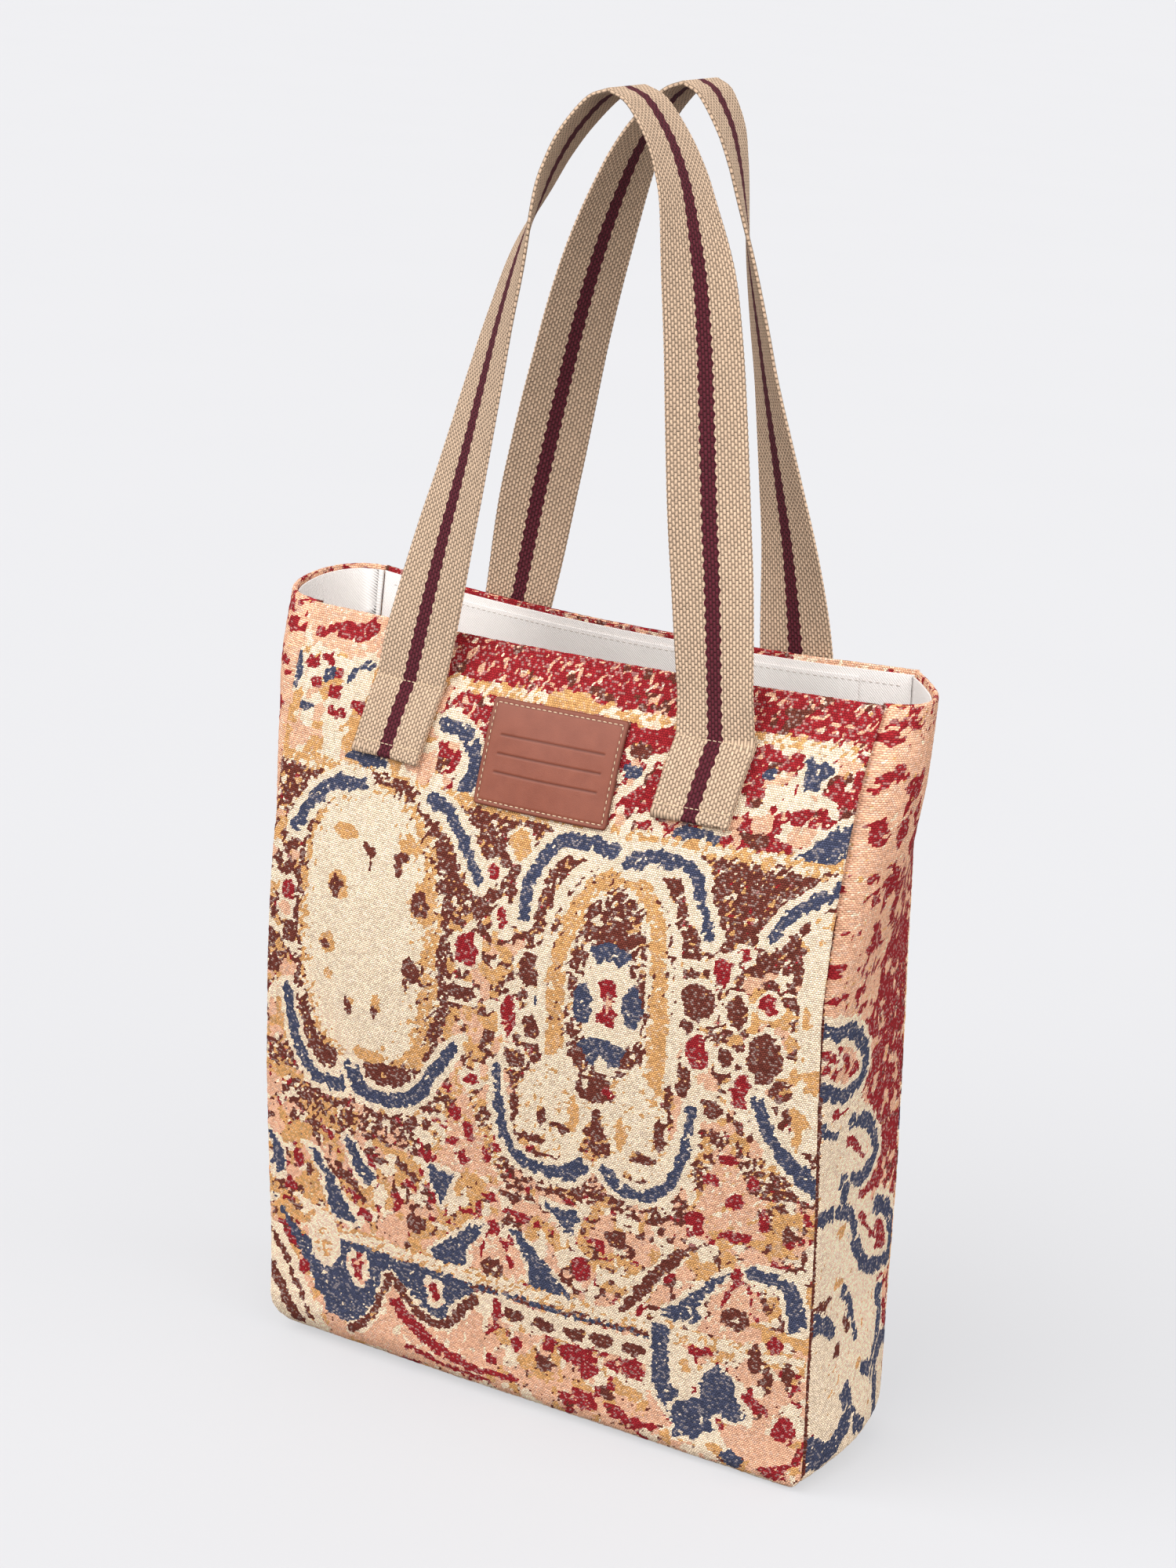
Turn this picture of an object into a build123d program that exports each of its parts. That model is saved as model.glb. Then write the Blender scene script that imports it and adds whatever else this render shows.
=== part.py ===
# Carpet-cloth tote bag: two panels, one long gusset that is both sides and the base, a cotton
# lining with a hanging pocket, two webbing handles and a leather patch.
# Millimetres, +Z up, origin at the middle of the base, the front panel towards -Y.
import os
from math import cos, radians, sin

from build123d import *

os.makedirs("parts", exist_ok=True)

# Bag body
body_width = 290.0
body_height = 380.0
body_depth = 100.0
cloth_thickness = 2.4
base_corner_radius = 14.0
front_belly = 15.0
back_pull = 14.0
gusset_splay = 26.0
rim_rounding_share = 0.4
seam_gap = 0.3

# Lining and pocket
lining_thickness = 0.8
lining_drop = 2.5
pocket_width = 236.0
pocket_height = 170.0
pocket_drop = 6.0
pocket_corner_radius = 5.0

# Webbing handles
webbing_width = 38.0
webbing_thickness = 1.9
handle_rise = 253.0
handle_spread = 80.0
strap_foot_drop = 62.0
strap_stitch_drop = 23.0
front_apex_y = -27.0
back_apex_y = 46.0

# Leather patch
patch_width = 70.0
patch_height = 50.0
patch_thickness = 2.0
patch_corner_radius = 2.0
patch_edge_rounding = 0.6
patch_drop = 47.0
rule_length = 52.0
rule_width = 0.9
rule_depth = 0.35
rule_spacing = 8.5

# Seam levels as shares of the height, and what the cloth does at each of them
level_shares = (0.0, 0.05, 0.11, 0.22, 0.38, 0.54, 0.66, 0.78, 0.88, 0.94, 1.0)
front_seam_shares = (0.46, 0.46, 0.46, 0.48, 0.54, 0.61, 0.635, 0.59, 0.505, 0.43, 0.31)
back_seam_shares = (0.50, 0.50, 0.495, 0.46, 0.42, 0.39, 0.375, 0.37, 0.385, 0.41, 0.44)
front_belly_shares = (0.0, 0.10, 0.22, 0.46, 0.75, 0.95, 1.0, 1.0, 0.85, 0.72, 0.60)
back_pull_shares = (0.0, 0.0, 0.0, 0.0, 0.0, 0.0, 0.04, 0.18, 0.45, 0.70, 1.0)
gusset_splay_shares = (0.0, 0.0, 0.01, 0.04, 0.08, 0.10, 0.15, 0.32, 0.58, 0.79, 1.0)
panel_stations = 20
gusset_stations = 18
side_stations = 5

# One leg of a handle from its upper stitch line to the top: height, spread and twist
leg_height_shares = (0.0, 0.083, 0.242, 0.35, 0.513, 0.617, 0.722, 0.827, 0.88, 0.932, 0.983, 1.0)
leg_spread_shares = (0.97, 0.93, 0.845, 0.78, 0.675, 0.60, 0.51, 0.405, 0.34, 0.25, 0.11, 0.0)
leg_twist_shares = (0.0, 0.02, 0.17, 0.28, 0.45, 0.56, 0.68, 0.80, 0.86, 0.93, 0.98, 1.0)
leg_stations = 26
sewn_steps = 4
quarter_turn = 90.0

# Layers of webbing at a sewn foot, counted out from the panel
strap_layer_share = 1.6
tail_layer_share = 1.4
tail_thickness_share = 1.2


# Cloth surfaces


def smooth(levels, values, at):
    """Value of a table at a place between its levels, with no kinks."""
    last = len(levels) - 1
    low = max(i for i in range(last) if levels[i] <= at)

    def slope(i):
        before = max(i - 1, 0)
        after = min(i + 1, last)
        return (values[after] - values[before]) / (levels[after] - levels[before])

    run = levels[low + 1] - levels[low]
    t = (at - levels[low]) / run
    rise = values[low + 1] - values[low]
    start = slope(low) * run
    end = slope(low + 1) * run
    return values[low] + t * start + t**2 * (3 * rise - 2 * start - end) + t**3 * (start + end - 2 * rise)


def at_height(shares, z):
    """Value of a seam table at height z."""
    return smooth(level_shares, shares, min(max(z / body_height, 0), 1))


def crown(x):
    """Share of a panel's bow at x: none at the seams, all of it half-way between."""
    return 1 - (2 * x / body_width) ** 2


def front_surface(x, z):
    """Y of the front panel's outside."""
    belly = front_belly * at_height(front_belly_shares, z)
    return -body_depth * at_height(front_seam_shares, z) - belly * crown(x)


def back_surface(x, z):
    """Y of the back panel's outside, which the handle pulls in at the rim."""
    pull = back_pull * at_height(back_pull_shares, z)
    return body_depth * at_height(back_seam_shares, z) - pull * crown(x)


def side_surface(y, z):
    """X of the right side's outside, which bows out between its two seams."""
    front = front_surface(body_width / 2, z)
    back = back_surface(body_width / 2, z)
    bow = 1 - ((2 * y - front - back) / (back - front)) ** 2
    return body_width / 2 + gusset_splay * at_height(gusset_splay_shares, z) * bow


def spread(low, high, count):
    """Evenly spaced values from low to high."""
    return [low + (high - low) * i / (count - 1) for i in range(count)]


# Cloth pieces


def panel_sheet(surface, inward, inset, thickness, half_width, foot, head, corner_radius):
    """One upright sheet that follows a panel's surface, lofted across the width."""
    with BuildPart() as sheet:
        for x in (-half_width, 0, half_width):
            levels = spread(foot, head - thickness * rim_rounding_share, panel_stations)
            outer = [(surface(x, z) + inward * inset, z) for z in levels]
            inner = [(y + inward * thickness, z) for y, z in outer]
            crest = (surface(x, head) + inward * (inset + thickness / 2), head)
            with BuildSketch(Plane.YZ.offset(x)):
                with BuildLine():
                    Spline(*outer)
                    ThreePointArc(outer[-1], crest, inner[-1])
                    Spline(*reversed(inner))
                    Line(inner[0], outer[0])
                make_face()
        loft()
        sides = sheet.faces().sort_by(Axis.X)
        foot_corners = [side.edges().sort_by(Axis.Z)[0] for side in (sides[0], sides[-1])]
        fillet(foot_corners, corner_radius)
    return sheet


def gusset_strip(inset, thickness, end_inset, head):
    """One strip that is both sides and the base, its sides splayed towards the rim."""
    outer_x = body_width / 2 - inset
    bend = Axis((body_width / 2 - base_corner_radius, 0, base_corner_radius), (0, 1, 0))

    def ends(z):
        across = (body_width / 2, outer_x - thickness)
        near = max(front_surface(x, z) for x in across)
        far = min(back_surface(x, z) for x in across)
        return near + end_inset, far - end_inset

    base_ends = ends(0)
    base_length = base_ends[1] - base_ends[0]
    base_middle = (base_ends[0] + base_ends[1]) / 2
    with BuildPart() as strip:
        for z in spread(base_corner_radius, head, gusset_stations):
            outer = [(side_surface(y, z) - inset, y) for y in spread(*ends(z), side_stations)]
            inner = [(x - thickness, y) for x, y in outer]
            with BuildSketch(Plane.XY.offset(z)):
                with BuildLine():
                    Spline(*outer)
                    Line(outer[-1], inner[-1])
                    Spline(*reversed(inner))
                    Line(inner[0], outer[0])
                make_face()
        loft()
        with BuildSketch(Plane.XY.offset(base_corner_radius)):
            with Locations((outer_x - thickness / 2, base_middle)):
                Rectangle(thickness, base_length)
        revolve(axis=bend, revolution_arc=quarter_turn)
        with BuildSketch(Plane.YZ.offset(body_width / 2 - base_corner_radius)):
            with Locations((base_middle, inset + thickness / 2)):
                Rectangle(base_length, thickness)
        extrude(amount=base_corner_radius - body_width / 2)
        mirror(about=Plane.YZ)
    return strip


# Webbing handles


def sewn_stations(surface, outward, layer_share):
    """Centre and width direction where a strap lies flat on its panel, some layers out from it."""
    stations = []
    half = webbing_width / 2
    for drop in spread(strap_foot_drop, strap_stitch_drop, sewn_steps):
        z = body_height - drop
        x = handle_spread * smooth((strap_stitch_drop, strap_foot_drop), (leg_spread_shares[0], 1), drop)
        y = surface(x, z) + outward * (seam_gap + webbing_thickness * layer_share)
        across = Vector(webbing_width, surface(x + half, z) - surface(x - half, z), 0)
        stations.append((Vector(x, y, z), across.normalized()))
    return stations


def free_stations(start, outward, apex_y):
    """Centre and width direction along one free leg, which turns a quarter on its way up."""
    stations = []
    levels = spread(0, 1, len(leg_height_shares))
    rise = body_height + handle_rise - start.Z
    for level in spread(0, 1, leg_stations)[1:]:
        height = smooth(levels, leg_height_shares, level)
        turn = radians(quarter_turn * smooth(levels, leg_twist_shares, level))
        x = handle_spread * smooth(levels, leg_spread_shares, level)
        y = start.Y + (apex_y - start.Y) * height
        stations.append((Vector(x, y, start.Z + rise * height), Vector(cos(turn), -outward * sin(turn), 0)))
    return stations


def strap_planes(route):
    """Section planes square to the strap's run."""
    planes = []
    for i, (centre, across) in enumerate(route):
        before = route[max(i - 1, 0)][0]
        after = route[min(i + 1, len(route) - 1)][0]
        along = (after - before).normalized()
        planes.append(Plane(centre, x_dir=across - along * across.dot(along), z_dir=along))
    return planes


def webbing_handle(surface, outward, apex_y):
    """A strap sewn flat at both feet over its own folded end, level across its top."""
    sewn = sewn_stations(surface, outward, strap_layer_share)
    free = free_stations(sewn[-1][0], outward, apex_y)
    before_top, turned = free[-2]
    past_top = (Vector(-before_top.X, before_top.Y, before_top.Z), turned)
    tail = sewn_stations(surface, outward, tail_layer_share / 2)
    with BuildPart() as handle:
        for plane in strap_planes([*sewn, *free, past_top])[:-1]:
            with BuildSketch(plane):
                Rectangle(webbing_width, webbing_thickness)
        loft(ruled=True)
        for plane in strap_planes(tail):
            with BuildSketch(plane):
                Rectangle(webbing_width, webbing_thickness * tail_thickness_share)
        loft(ruled=True)
        mirror(about=Plane.YZ)
    return handle


# Outer cloth
panel_half_width = body_width / 2
front_panel = panel_sheet(
    front_surface, 1, 0, cloth_thickness, panel_half_width, 0, body_height, base_corner_radius
)
front_panel.part.label = "front_panel"
export_step(front_panel.part, "parts/front_panel.step")

back_panel = panel_sheet(
    back_surface, -1, 0, cloth_thickness, panel_half_width, 0, body_height, base_corner_radius
)
back_panel.part.label = "back_panel"
export_step(back_panel.part, "parts/back_panel.step")

gusset = gusset_strip(0, cloth_thickness, cloth_thickness + seam_gap, body_height)
gusset.part.label = "gusset"
export_step(gusset.part, "parts/gusset.step")

# Lining, one gap inside the cloth
lining_inset = cloth_thickness + seam_gap
lining_back = lining_inset + lining_thickness
lining_head = body_height - lining_drop
lining_half_width = panel_half_width - lining_back - seam_gap
lining_foot = lining_back + seam_gap
lining_corner_radius = base_corner_radius - lining_foot
front_lining = panel_sheet(
    front_surface, 1, lining_inset, lining_thickness, lining_half_width, lining_foot, lining_head,
    lining_corner_radius,
)
front_lining.part.label = "front_lining"
export_step(front_lining.part, "parts/front_lining.step")

back_lining = panel_sheet(
    back_surface, -1, lining_inset, lining_thickness, lining_half_width, lining_foot, lining_head,
    lining_corner_radius,
)
back_lining.part.label = "back_lining"
export_step(back_lining.part, "parts/back_lining.step")

gusset_lining = gusset_strip(lining_inset, lining_thickness, lining_inset, lining_head)
gusset_lining.part.label = "gusset_lining"
export_step(gusset_lining.part, "parts/gusset_lining.step")

# Hanging pocket inside the back
pocket_inset = lining_back + seam_gap
pocket_head = body_height - pocket_drop
inner_pocket = panel_sheet(
    back_surface, -1, pocket_inset, lining_thickness, pocket_width / 2, pocket_head - pocket_height,
    pocket_head, pocket_corner_radius,
)
inner_pocket.part.label = "inner_pocket"
export_step(inner_pocket.part, "parts/inner_pocket.step")

# Handles
front_handle = webbing_handle(front_surface, -1, front_apex_y)
front_handle.part.label = "front_handle"
export_step(front_handle.part, "parts/front_handle.step")

back_handle = webbing_handle(back_surface, 1, back_apex_y)
back_handle.part.label = "back_handle"
export_step(back_handle.part, "parts/back_handle.step")

# Leather patch, tangent to the front panel at its own middle
patch_z = body_height - patch_drop
patch_low = Vector(0, front_surface(0, patch_z - patch_height / 2), patch_z - patch_height / 2)
patch_high = Vector(0, front_surface(0, patch_z + patch_height / 2), patch_z + patch_height / 2)
patch_up = (patch_high - patch_low).normalized()
patch_normal = Vector(1, 0, 0).cross(patch_up)
patch_seat = Vector(0, front_surface(0, patch_z), patch_z) + patch_normal * seam_gap
patch_plane = Plane(patch_seat, x_dir=(1, 0, 0), z_dir=patch_normal)
with BuildPart() as leather_patch:
    with BuildSketch(patch_plane):
        RectangleRounded(patch_width, patch_height, patch_corner_radius)
    extrude(amount=patch_thickness)
    fillet(leather_patch.faces().sort_by(Axis(patch_seat, patch_normal))[-1].edges(), patch_edge_rounding)
    with BuildSketch(patch_plane.offset(patch_thickness)):
        with GridLocations(0, rule_spacing, 1, 3):
            SlotOverall(rule_length, rule_width)
    extrude(amount=-rule_depth, mode=Mode.SUBTRACT)
leather_patch.part.label = "leather_patch"
export_step(leather_patch.part, "parts/leather_patch.step")
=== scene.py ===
import math

import bpy
import numpy as np
from mathutils import Matrix, Vector


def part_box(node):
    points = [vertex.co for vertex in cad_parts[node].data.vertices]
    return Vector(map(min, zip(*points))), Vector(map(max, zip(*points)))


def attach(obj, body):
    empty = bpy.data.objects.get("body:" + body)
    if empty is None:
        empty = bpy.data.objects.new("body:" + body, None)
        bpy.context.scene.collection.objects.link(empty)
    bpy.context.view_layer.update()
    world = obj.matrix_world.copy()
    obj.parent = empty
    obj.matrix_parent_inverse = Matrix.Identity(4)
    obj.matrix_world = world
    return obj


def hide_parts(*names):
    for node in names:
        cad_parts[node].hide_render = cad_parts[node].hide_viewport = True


# Carpet-cloth tote bag: patterned cloth outside, twill lining and pocket inside, webbing handles
# and a stitched leather patch. Metres, +Z up, the front panel towards -Y.
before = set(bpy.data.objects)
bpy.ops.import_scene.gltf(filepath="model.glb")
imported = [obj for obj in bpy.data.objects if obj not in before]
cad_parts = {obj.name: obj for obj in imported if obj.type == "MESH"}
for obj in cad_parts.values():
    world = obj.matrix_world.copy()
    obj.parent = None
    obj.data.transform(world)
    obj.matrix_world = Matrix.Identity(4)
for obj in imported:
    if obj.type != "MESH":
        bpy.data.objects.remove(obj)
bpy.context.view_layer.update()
MM = 0.001

# Bag body, as the solids have it
panel_low, panel_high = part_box("front_panel")
body_width = panel_high[0] - panel_low[0]
body_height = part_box("gusset")[1][2]
body_depth = 100 * MM
cloth_thickness = 2.4 * MM
base_corner_radius = 14 * MM
front_belly = 15 * MM

# How the soft cloth settles: bulging sides, curled foot, bowed folds, and a mouth that leans to the left
back_pull = 19 * MM
side_bulge = 2.7 * MM
front_yaw = 6 * MM
back_yaw = 4 * MM
back_shift = 11 * MM
foot_curl_left = 24 * MM
foot_curl_right = 8 * MM
ear_corner_radius = 11 * MM
left_corner_radius = 20 * MM
rear_corner_radius = 18 * MM
bend_radius = 9 * MM
foot_bow = 9 * MM
right_splay = 21 * MM
right_splay_power = 0.75
right_splay_skew = 0.6
left_splay = 27 * MM
left_splay_power = 0.45

# Seams
seam_gap = 0.3 * MM
gusset_front_gap = 3.6 * MM
gusset_back_gap = 1.3 * MM
seam_tuck = 2.6 * MM
tuck_run = 1.6 * MM
mean_depth_share = 0.9

# Lining and pocket
lining_thickness = 0.8 * MM
lining_drop = 2.5 * MM
pocket_low, pocket_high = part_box("inner_pocket")
pocket_width = pocket_high[0] - pocket_low[0]
pocket_corner_radius = 5 * MM
back_lining_side_inset = 0.6 * MM
lining_stitch_drop = 8 * MM
lining_stitch_reach = 136 * MM
lining_stitch_pitch = 3.2 * MM
lining_stitch_length = 2.2 * MM
lining_thread_radius = 0.2 * MM

# Unevenness of hanging cloth, and the slanting crease on the sides
slow_wave = 0.8 * MM
slow_wave_size = 60 * MM
quick_wave = 0.35 * MM
quick_wave_size = 22 * MM
crease_depth = 1.6 * MM
crease_width = 6 * MM
crease_slope = 0.42
crease_start = 20 * MM
crease_start_height = 310 * MM
crease_height = 282 * MM
crease_reach = 40 * MM
side_cloth_depth = 96 * MM

# Seam levels as shares of the height, and what the cloth does at each of them
level_shares = (0.0, 0.05, 0.11, 0.22, 0.38, 0.54, 0.66, 0.78, 0.88, 0.94, 1.0)
front_seam_shares = (0.46, 0.46, 0.475, 0.515, 0.578, 0.63, 0.64, 0.59, 0.505, 0.425, 0.29)
back_seam_shares = (0.50, 0.50, 0.495, 0.46, 0.42, 0.39, 0.375, 0.37, 0.393, 0.425, 0.48)
side_bulge_shares = (1.0, 1.0, 0.9, 1.0, 1.0, 0.50, 0.0, 0.0, 0.0, 0.0, 0.0)
rim_lean_shares = (0.0, 0.0, 0.0, 0.0, 0.0, 0.0, 0.03, 0.18, 0.50, 0.75, 1.0)
front_belly_shares = (0.0, 0.10, 0.22, 0.46, 0.75, 0.95, 1.0, 1.0, 0.85, 0.72, 0.60)
back_pull_shares = (0.0, 0.0, 0.0, 0.0, 0.0, 0.0, 0.04, 0.18, 0.45, 0.70, 1.0)
right_splay_shares = (0.0, 0.0, 0.0, 0.0, 0.04, 0.12, 0.30, 0.60, 0.82, 0.86, 0.78)
left_splay_shares = (0.0, 0.0, 0.01, 0.03, 0.06, 0.10, 0.22, 0.46, 0.74, 0.89, 1.0)
foot_bow_shares = (0.85, 1.0, 0.75, 0.22, 0.0, 0.0, 0.0, 0.0, 0.0, 0.0, 0.0)

# Handles
webbing_width = 36.8 * MM
webbing_thickness = 1.9 * MM
handle_rise = 253 * MM
handle_spread = 80 * MM
strap_foot_drop = 57 * MM
strap_stitch_drop = 23 * MM
foot_stitch_rise = 5 * MM
tail_rise = 4 * MM
strap_stitch_reach = 17.2 * MM
strap_stitch_pitch = 2.45 * MM
strap_stitch_length = 2.1 * MM
strap_thread_radius = 0.22 * MM
front_apex_y = -27 * MM
back_apex_y = 46 * MM
leg_height_shares = (0.0, 0.083, 0.242, 0.35, 0.513, 0.617, 0.722, 0.827, 0.88, 0.932, 0.983, 1.0)
front_spread_shares = (0.97, 0.93, 0.845, 0.78, 0.69, 0.63, 0.555, 0.45, 0.38, 0.28, 0.13, 0.0)
front_twist_shares = (0.0, 0.02, 0.17, 0.275, 0.41, 0.50, 0.60, 0.82, 0.89, 0.95, 0.985, 1.0)
back_spread_shares = (0.97, 0.93, 0.845, 0.77, 0.65, 0.57, 0.48, 0.38, 0.32, 0.24, 0.11, 0.0)
back_twist_shares = (0.0, 0.0, 0.23, 0.36, 0.53, 0.59, 0.67, 0.80, 0.86, 0.93, 0.98, 1.0)
front_sway = 0 * MM
back_sway = -6 * MM
front_reach_power = 1.0
back_reach_power = 0.5
sway_share = 6.75
foot_spread_share = 0.97
front_left_lean = -3 * MM
front_right_lean = -6 * MM
strap_layer_share = 1.6
tail_layer_share = 0.6
rib_pitch = 1.5 * MM
float_pitch = 2.75 * MM
selvedge_scallop = 0.25 * MM
sewn_steps = 40
fold_steps = 11
leg_steps = 240
blend_steps = 20

# Patch
patch_width = 68 * MM
patch_height = 47 * MM
patch_shift = 1.8 * MM
patch_thickness = 2.0 * MM
patch_corner_radius = 2.0 * MM
patch_drop = 46 * MM
rule_length = 52 * MM
rule_width = 0.9 * MM
rule_depth = 0.35 * MM
rule_spacing = 8.2 * MM
patch_stitch_inset = 2.2 * MM
patch_stitch_pitch = 2.75 * MM
patch_stitch_length = 1.9 * MM
patch_thread_radius = 0.24 * MM
patch_stitch_sink = 0.2 * MM
channel_width = 0.55 * MM
channel_depth = 0.25 * MM
burnish_width = 1.2 * MM

# Grids and weave
panel_pitch = 1.56 * MM
gusset_pitch = 1.7 * MM
back_pitch = 2.3 * MM
lining_pitch = 4.0 * MM
strap_pitch = 0.8 * MM
patch_pitch = 0.5 * MM
edge_shares = (0.0, 0.08, 0.3, 0.65)
lattice_size = 97
tiny = 1e-9
weave_column = 1.2 * MM
weave_row = 0.95 * MM
yarn_relief = 0.16 * MM

# Seeds of the random fields
front_wave_seed = 3
back_wave_seed = 8
side_wave_seed = 14
relief_seed = 5
front_print_seed = 20
side_print_seed = 140
blotch_seed = 31

# Camera, from the photograph
camera_azimuth = 26.84
camera_elevation = 16.96
camera_roll = 3.80
camera_distance = 1516.1 * MM
camera_target = Vector((-10.2 * MM, 0, 307.0 * MM))
focal_pixels = 4084
image_height_pixels = 2000
sensor_mm = 36

# Light
floor_glow = 0.60
world_strength = 0.68
key_strength = 2.55
fill_strength = 2.0
backdrop_strength = 0.86
floor_reach = 40


# Curves and noise


def smooth(levels, values, at):
    """Cubic through a table's values, for an array of places."""
    levels = np.asarray(levels, float)
    values = np.asarray(values, float)
    last = len(levels) - 1
    before = np.maximum(np.arange(last + 1) - 1, 0)
    after = np.minimum(np.arange(last + 1) + 1, last)
    slopes = (values[after] - values[before]) / (levels[after] - levels[before])
    low = np.clip(np.searchsorted(levels, at, side="right") - 1, 0, last - 1)
    run = levels[low + 1] - levels[low]
    t = (at - levels[low]) / run
    rise = values[low + 1] - values[low]
    start = slopes[low] * run
    end = slopes[low + 1] * run
    return values[low] + t * start + t**2 * (3 * rise - 2 * start - end) + t**3 * (start + end - 2 * rise)


def noise(x, y, size, seed):
    """Smooth random field from -1 to 1 whose features are about size across."""
    lattice = np.random.default_rng(seed).uniform(-1, 1, (lattice_size, lattice_size))
    x = np.asarray(x, float) / size
    y = np.asarray(y, float) / size
    column = np.floor(x).astype(int)
    row = np.floor(y).astype(int)
    fx = x - column
    fy = y - row
    fx = fx * fx * (3 - 2 * fx)
    fy = fy * fy * (3 - 2 * fy)

    def corner(i, j):
        return lattice[(column + i) % lattice_size, (row + j) % lattice_size]

    near = corner(0, 0) * (1 - fx) + corner(1, 0) * fx
    far = corner(0, 1) * (1 - fx) + corner(1, 1) * fx
    return near * (1 - fy) + far * fy


def at_height(shares, z):
    return smooth(level_shares, shares, np.clip(z / body_height, 0, 1))


def crown(x):
    """Share of a panel's bow at x: none at the seams, all of it half-way between."""
    return 1 - (2 * x / body_width) ** 2


def cloth_wave(x, z, seed):
    """Slow unevenness of hanging cloth."""
    slow = slow_wave * noise(x, z, slow_wave_size, seed)
    return slow + quick_wave * noise(x, z, quick_wave_size, seed + 1)


def half_width(z):
    """Half the distance between the two side seams."""
    return body_width / 2 + side_bulge * at_height(side_bulge_shares, z)


def front_move(z):
    """The front panel stays where it is along X."""
    return 0 * z


def back_move(z):
    """How far the back panel is pushed along X."""
    return -back_shift * at_height(rim_lean_shares, z)


def front_face(x, z):
    """Y of the front panel's outside, which curls in at its foot, most of all at the left."""
    belly = front_belly * at_height(front_belly_shares, z) * crown(x)
    turn = front_yaw * at_height(rim_lean_shares, z) * 2 * x / body_width
    radius = foot_curl_left + (foot_curl_right - foot_curl_left) * np.clip(x / body_width + 0.5, 0, 1)
    curl = radius - np.sqrt(np.maximum(radius**2 - np.clip(radius - z, 0, radius) ** 2, 0))
    seam = body_depth * at_height(front_seam_shares, z)
    return turn + curl - belly - seam + cloth_wave(x, z, front_wave_seed)


def back_face(x, z):
    """Y of the back panel's outside, which the handle pulls in at the rim."""
    local = x - back_move(z)
    pull = back_pull * at_height(back_pull_shares, z) * crown(local)
    turn = back_yaw * at_height(rim_lean_shares, z) * 2 * local / body_width
    seam = body_depth * at_height(back_seam_shares, z)
    return seam - pull - turn + cloth_wave(x, z, back_wave_seed)


def side_bow(share, side, z):
    """How far a side stands out of the line between its seams, a share of the way to the back."""
    arch = 4 * share * (1 - share)
    right = right_splay * at_height(right_splay_shares, z) * arch**right_splay_power
    right = right * (1 + right_splay_skew * (1 - 2 * share))
    left = left_splay * at_height(left_splay_shares, z) * arch**left_splay_power
    bow = np.where(side > 0, right, left) + foot_bow * at_height(foot_bow_shares, z) * arch
    crease = share * side_cloth_depth - crease_start + crease_slope * (z - crease_start_height)
    fade = np.exp(-(((z - crease_height) / crease_reach) ** 2))
    dent = crease_depth * np.exp(-((crease / crease_width) ** 2)) * fade
    wave = cloth_wave(share * body_depth, z + side, side_wave_seed)
    return bow - dent + wave * np.clip(2 * arch, 0, 1)


# Meshes


def make_piece(name, points, faces, vectors, material):
    """A smooth-shaded mesh object with point vectors such as cloth coordinates, riding on the bag."""
    mesh = bpy.data.meshes.new(name)
    mesh.from_pydata(np.asarray(points).tolist(), [], np.asarray(faces).tolist())
    for key, values in vectors.items():
        layer = mesh.attributes.new(key, "FLOAT_VECTOR", "POINT")
        layer.data.foreach_set("vector", np.ascontiguousarray(values, dtype=np.float32).ravel())
    mesh.shade_smooth()
    mesh.materials.append(material)
    piece = bpy.data.objects.new(name, mesh)
    bpy.context.scene.collection.objects.link(piece)
    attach(piece, "root")
    return piece


def steps(length, pitch, rounding):
    """Places from 0 to length, closer together over the rounded edge at each end."""
    edge = rounding * np.array(edge_shares)
    inner = np.linspace(rounding, length - rounding, max(int(round(length / pitch)), 3))
    return np.concatenate([edge, inner, length - edge[::-1]])


def unit(vectors):
    """The same directions, each one unit long."""
    return vectors / np.linalg.norm(vectors, axis=-1, keepdims=True)


def grid_normals(points):
    return unit(np.cross(np.gradient(points, axis=1), np.gradient(points, axis=0)))


def cloth_places(u, v, third, source):
    """Flat place in millimetres, and a third value, of each point of a closed sheet."""
    return np.stack([u / MM, v / MM, third], -1).reshape(-1, 3)[source]


def closed_sheet(middle, normal, edge_distance, thickness):
    """Points and faces of a sheet with rounded edges, and the grid place of each point."""
    rows, columns = middle.shape[:2]
    reach = np.clip(edge_distance / (thickness / 2), 0, 1)
    half = (thickness / 2 * np.sqrt(1 - (1 - reach) ** 2))[..., None]
    outer_ids = np.arange(rows * columns).reshape(rows, columns)
    inner_ids = outer_ids.copy()
    inside = (slice(1, rows - 1), slice(1, columns - 1))
    count = (rows - 2) * (columns - 2)
    inner_ids[inside] = rows * columns + np.arange(count).reshape(rows - 2, columns - 2)
    outer = (middle + normal * half).reshape(-1, 3)
    inner = (middle - normal * half)[inside].reshape(-1, 3)

    def quads(ids):
        corners = (ids[:-1, :-1], ids[:-1, 1:], ids[1:, 1:], ids[1:, :-1])
        return np.stack(corners, -1).reshape(-1, 4)

    faces = np.concatenate([quads(outer_ids), quads(inner_ids)[:, ::-1]])
    source = np.concatenate([outer_ids.ravel(), outer_ids[inside].ravel()])
    return np.concatenate([outer, inner]), faces, source


def sheet_piece(name, surface, flat_u, flat_v, inset, thickness, edge, paint, material):
    """One cloth piece: its outside surface, moved in and given its thickness, with its pattern."""
    normal = grid_normals(surface)
    middle = surface - normal * (inset + thickness / 2)
    if paint:
        rough = np.random.default_rng(relief_seed).uniform(-1, 1, surface.shape)
        middle = middle + yarn_relief * rough
    points, faces, source = closed_sheet(middle, normal, edge, thickness)
    vectors = {"cloth": cloth_places(flat_u, flat_v, np.zeros_like(flat_u), source)}
    if paint:
        shares = paint(flat_u / MM, flat_v / MM).reshape(-1, 6)[source]
        vectors["print_pale"] = shares[:, :3]
        vectors["print_deep"] = shares[:, 3:]
    return make_piece(name, points, faces, vectors, material)


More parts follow.
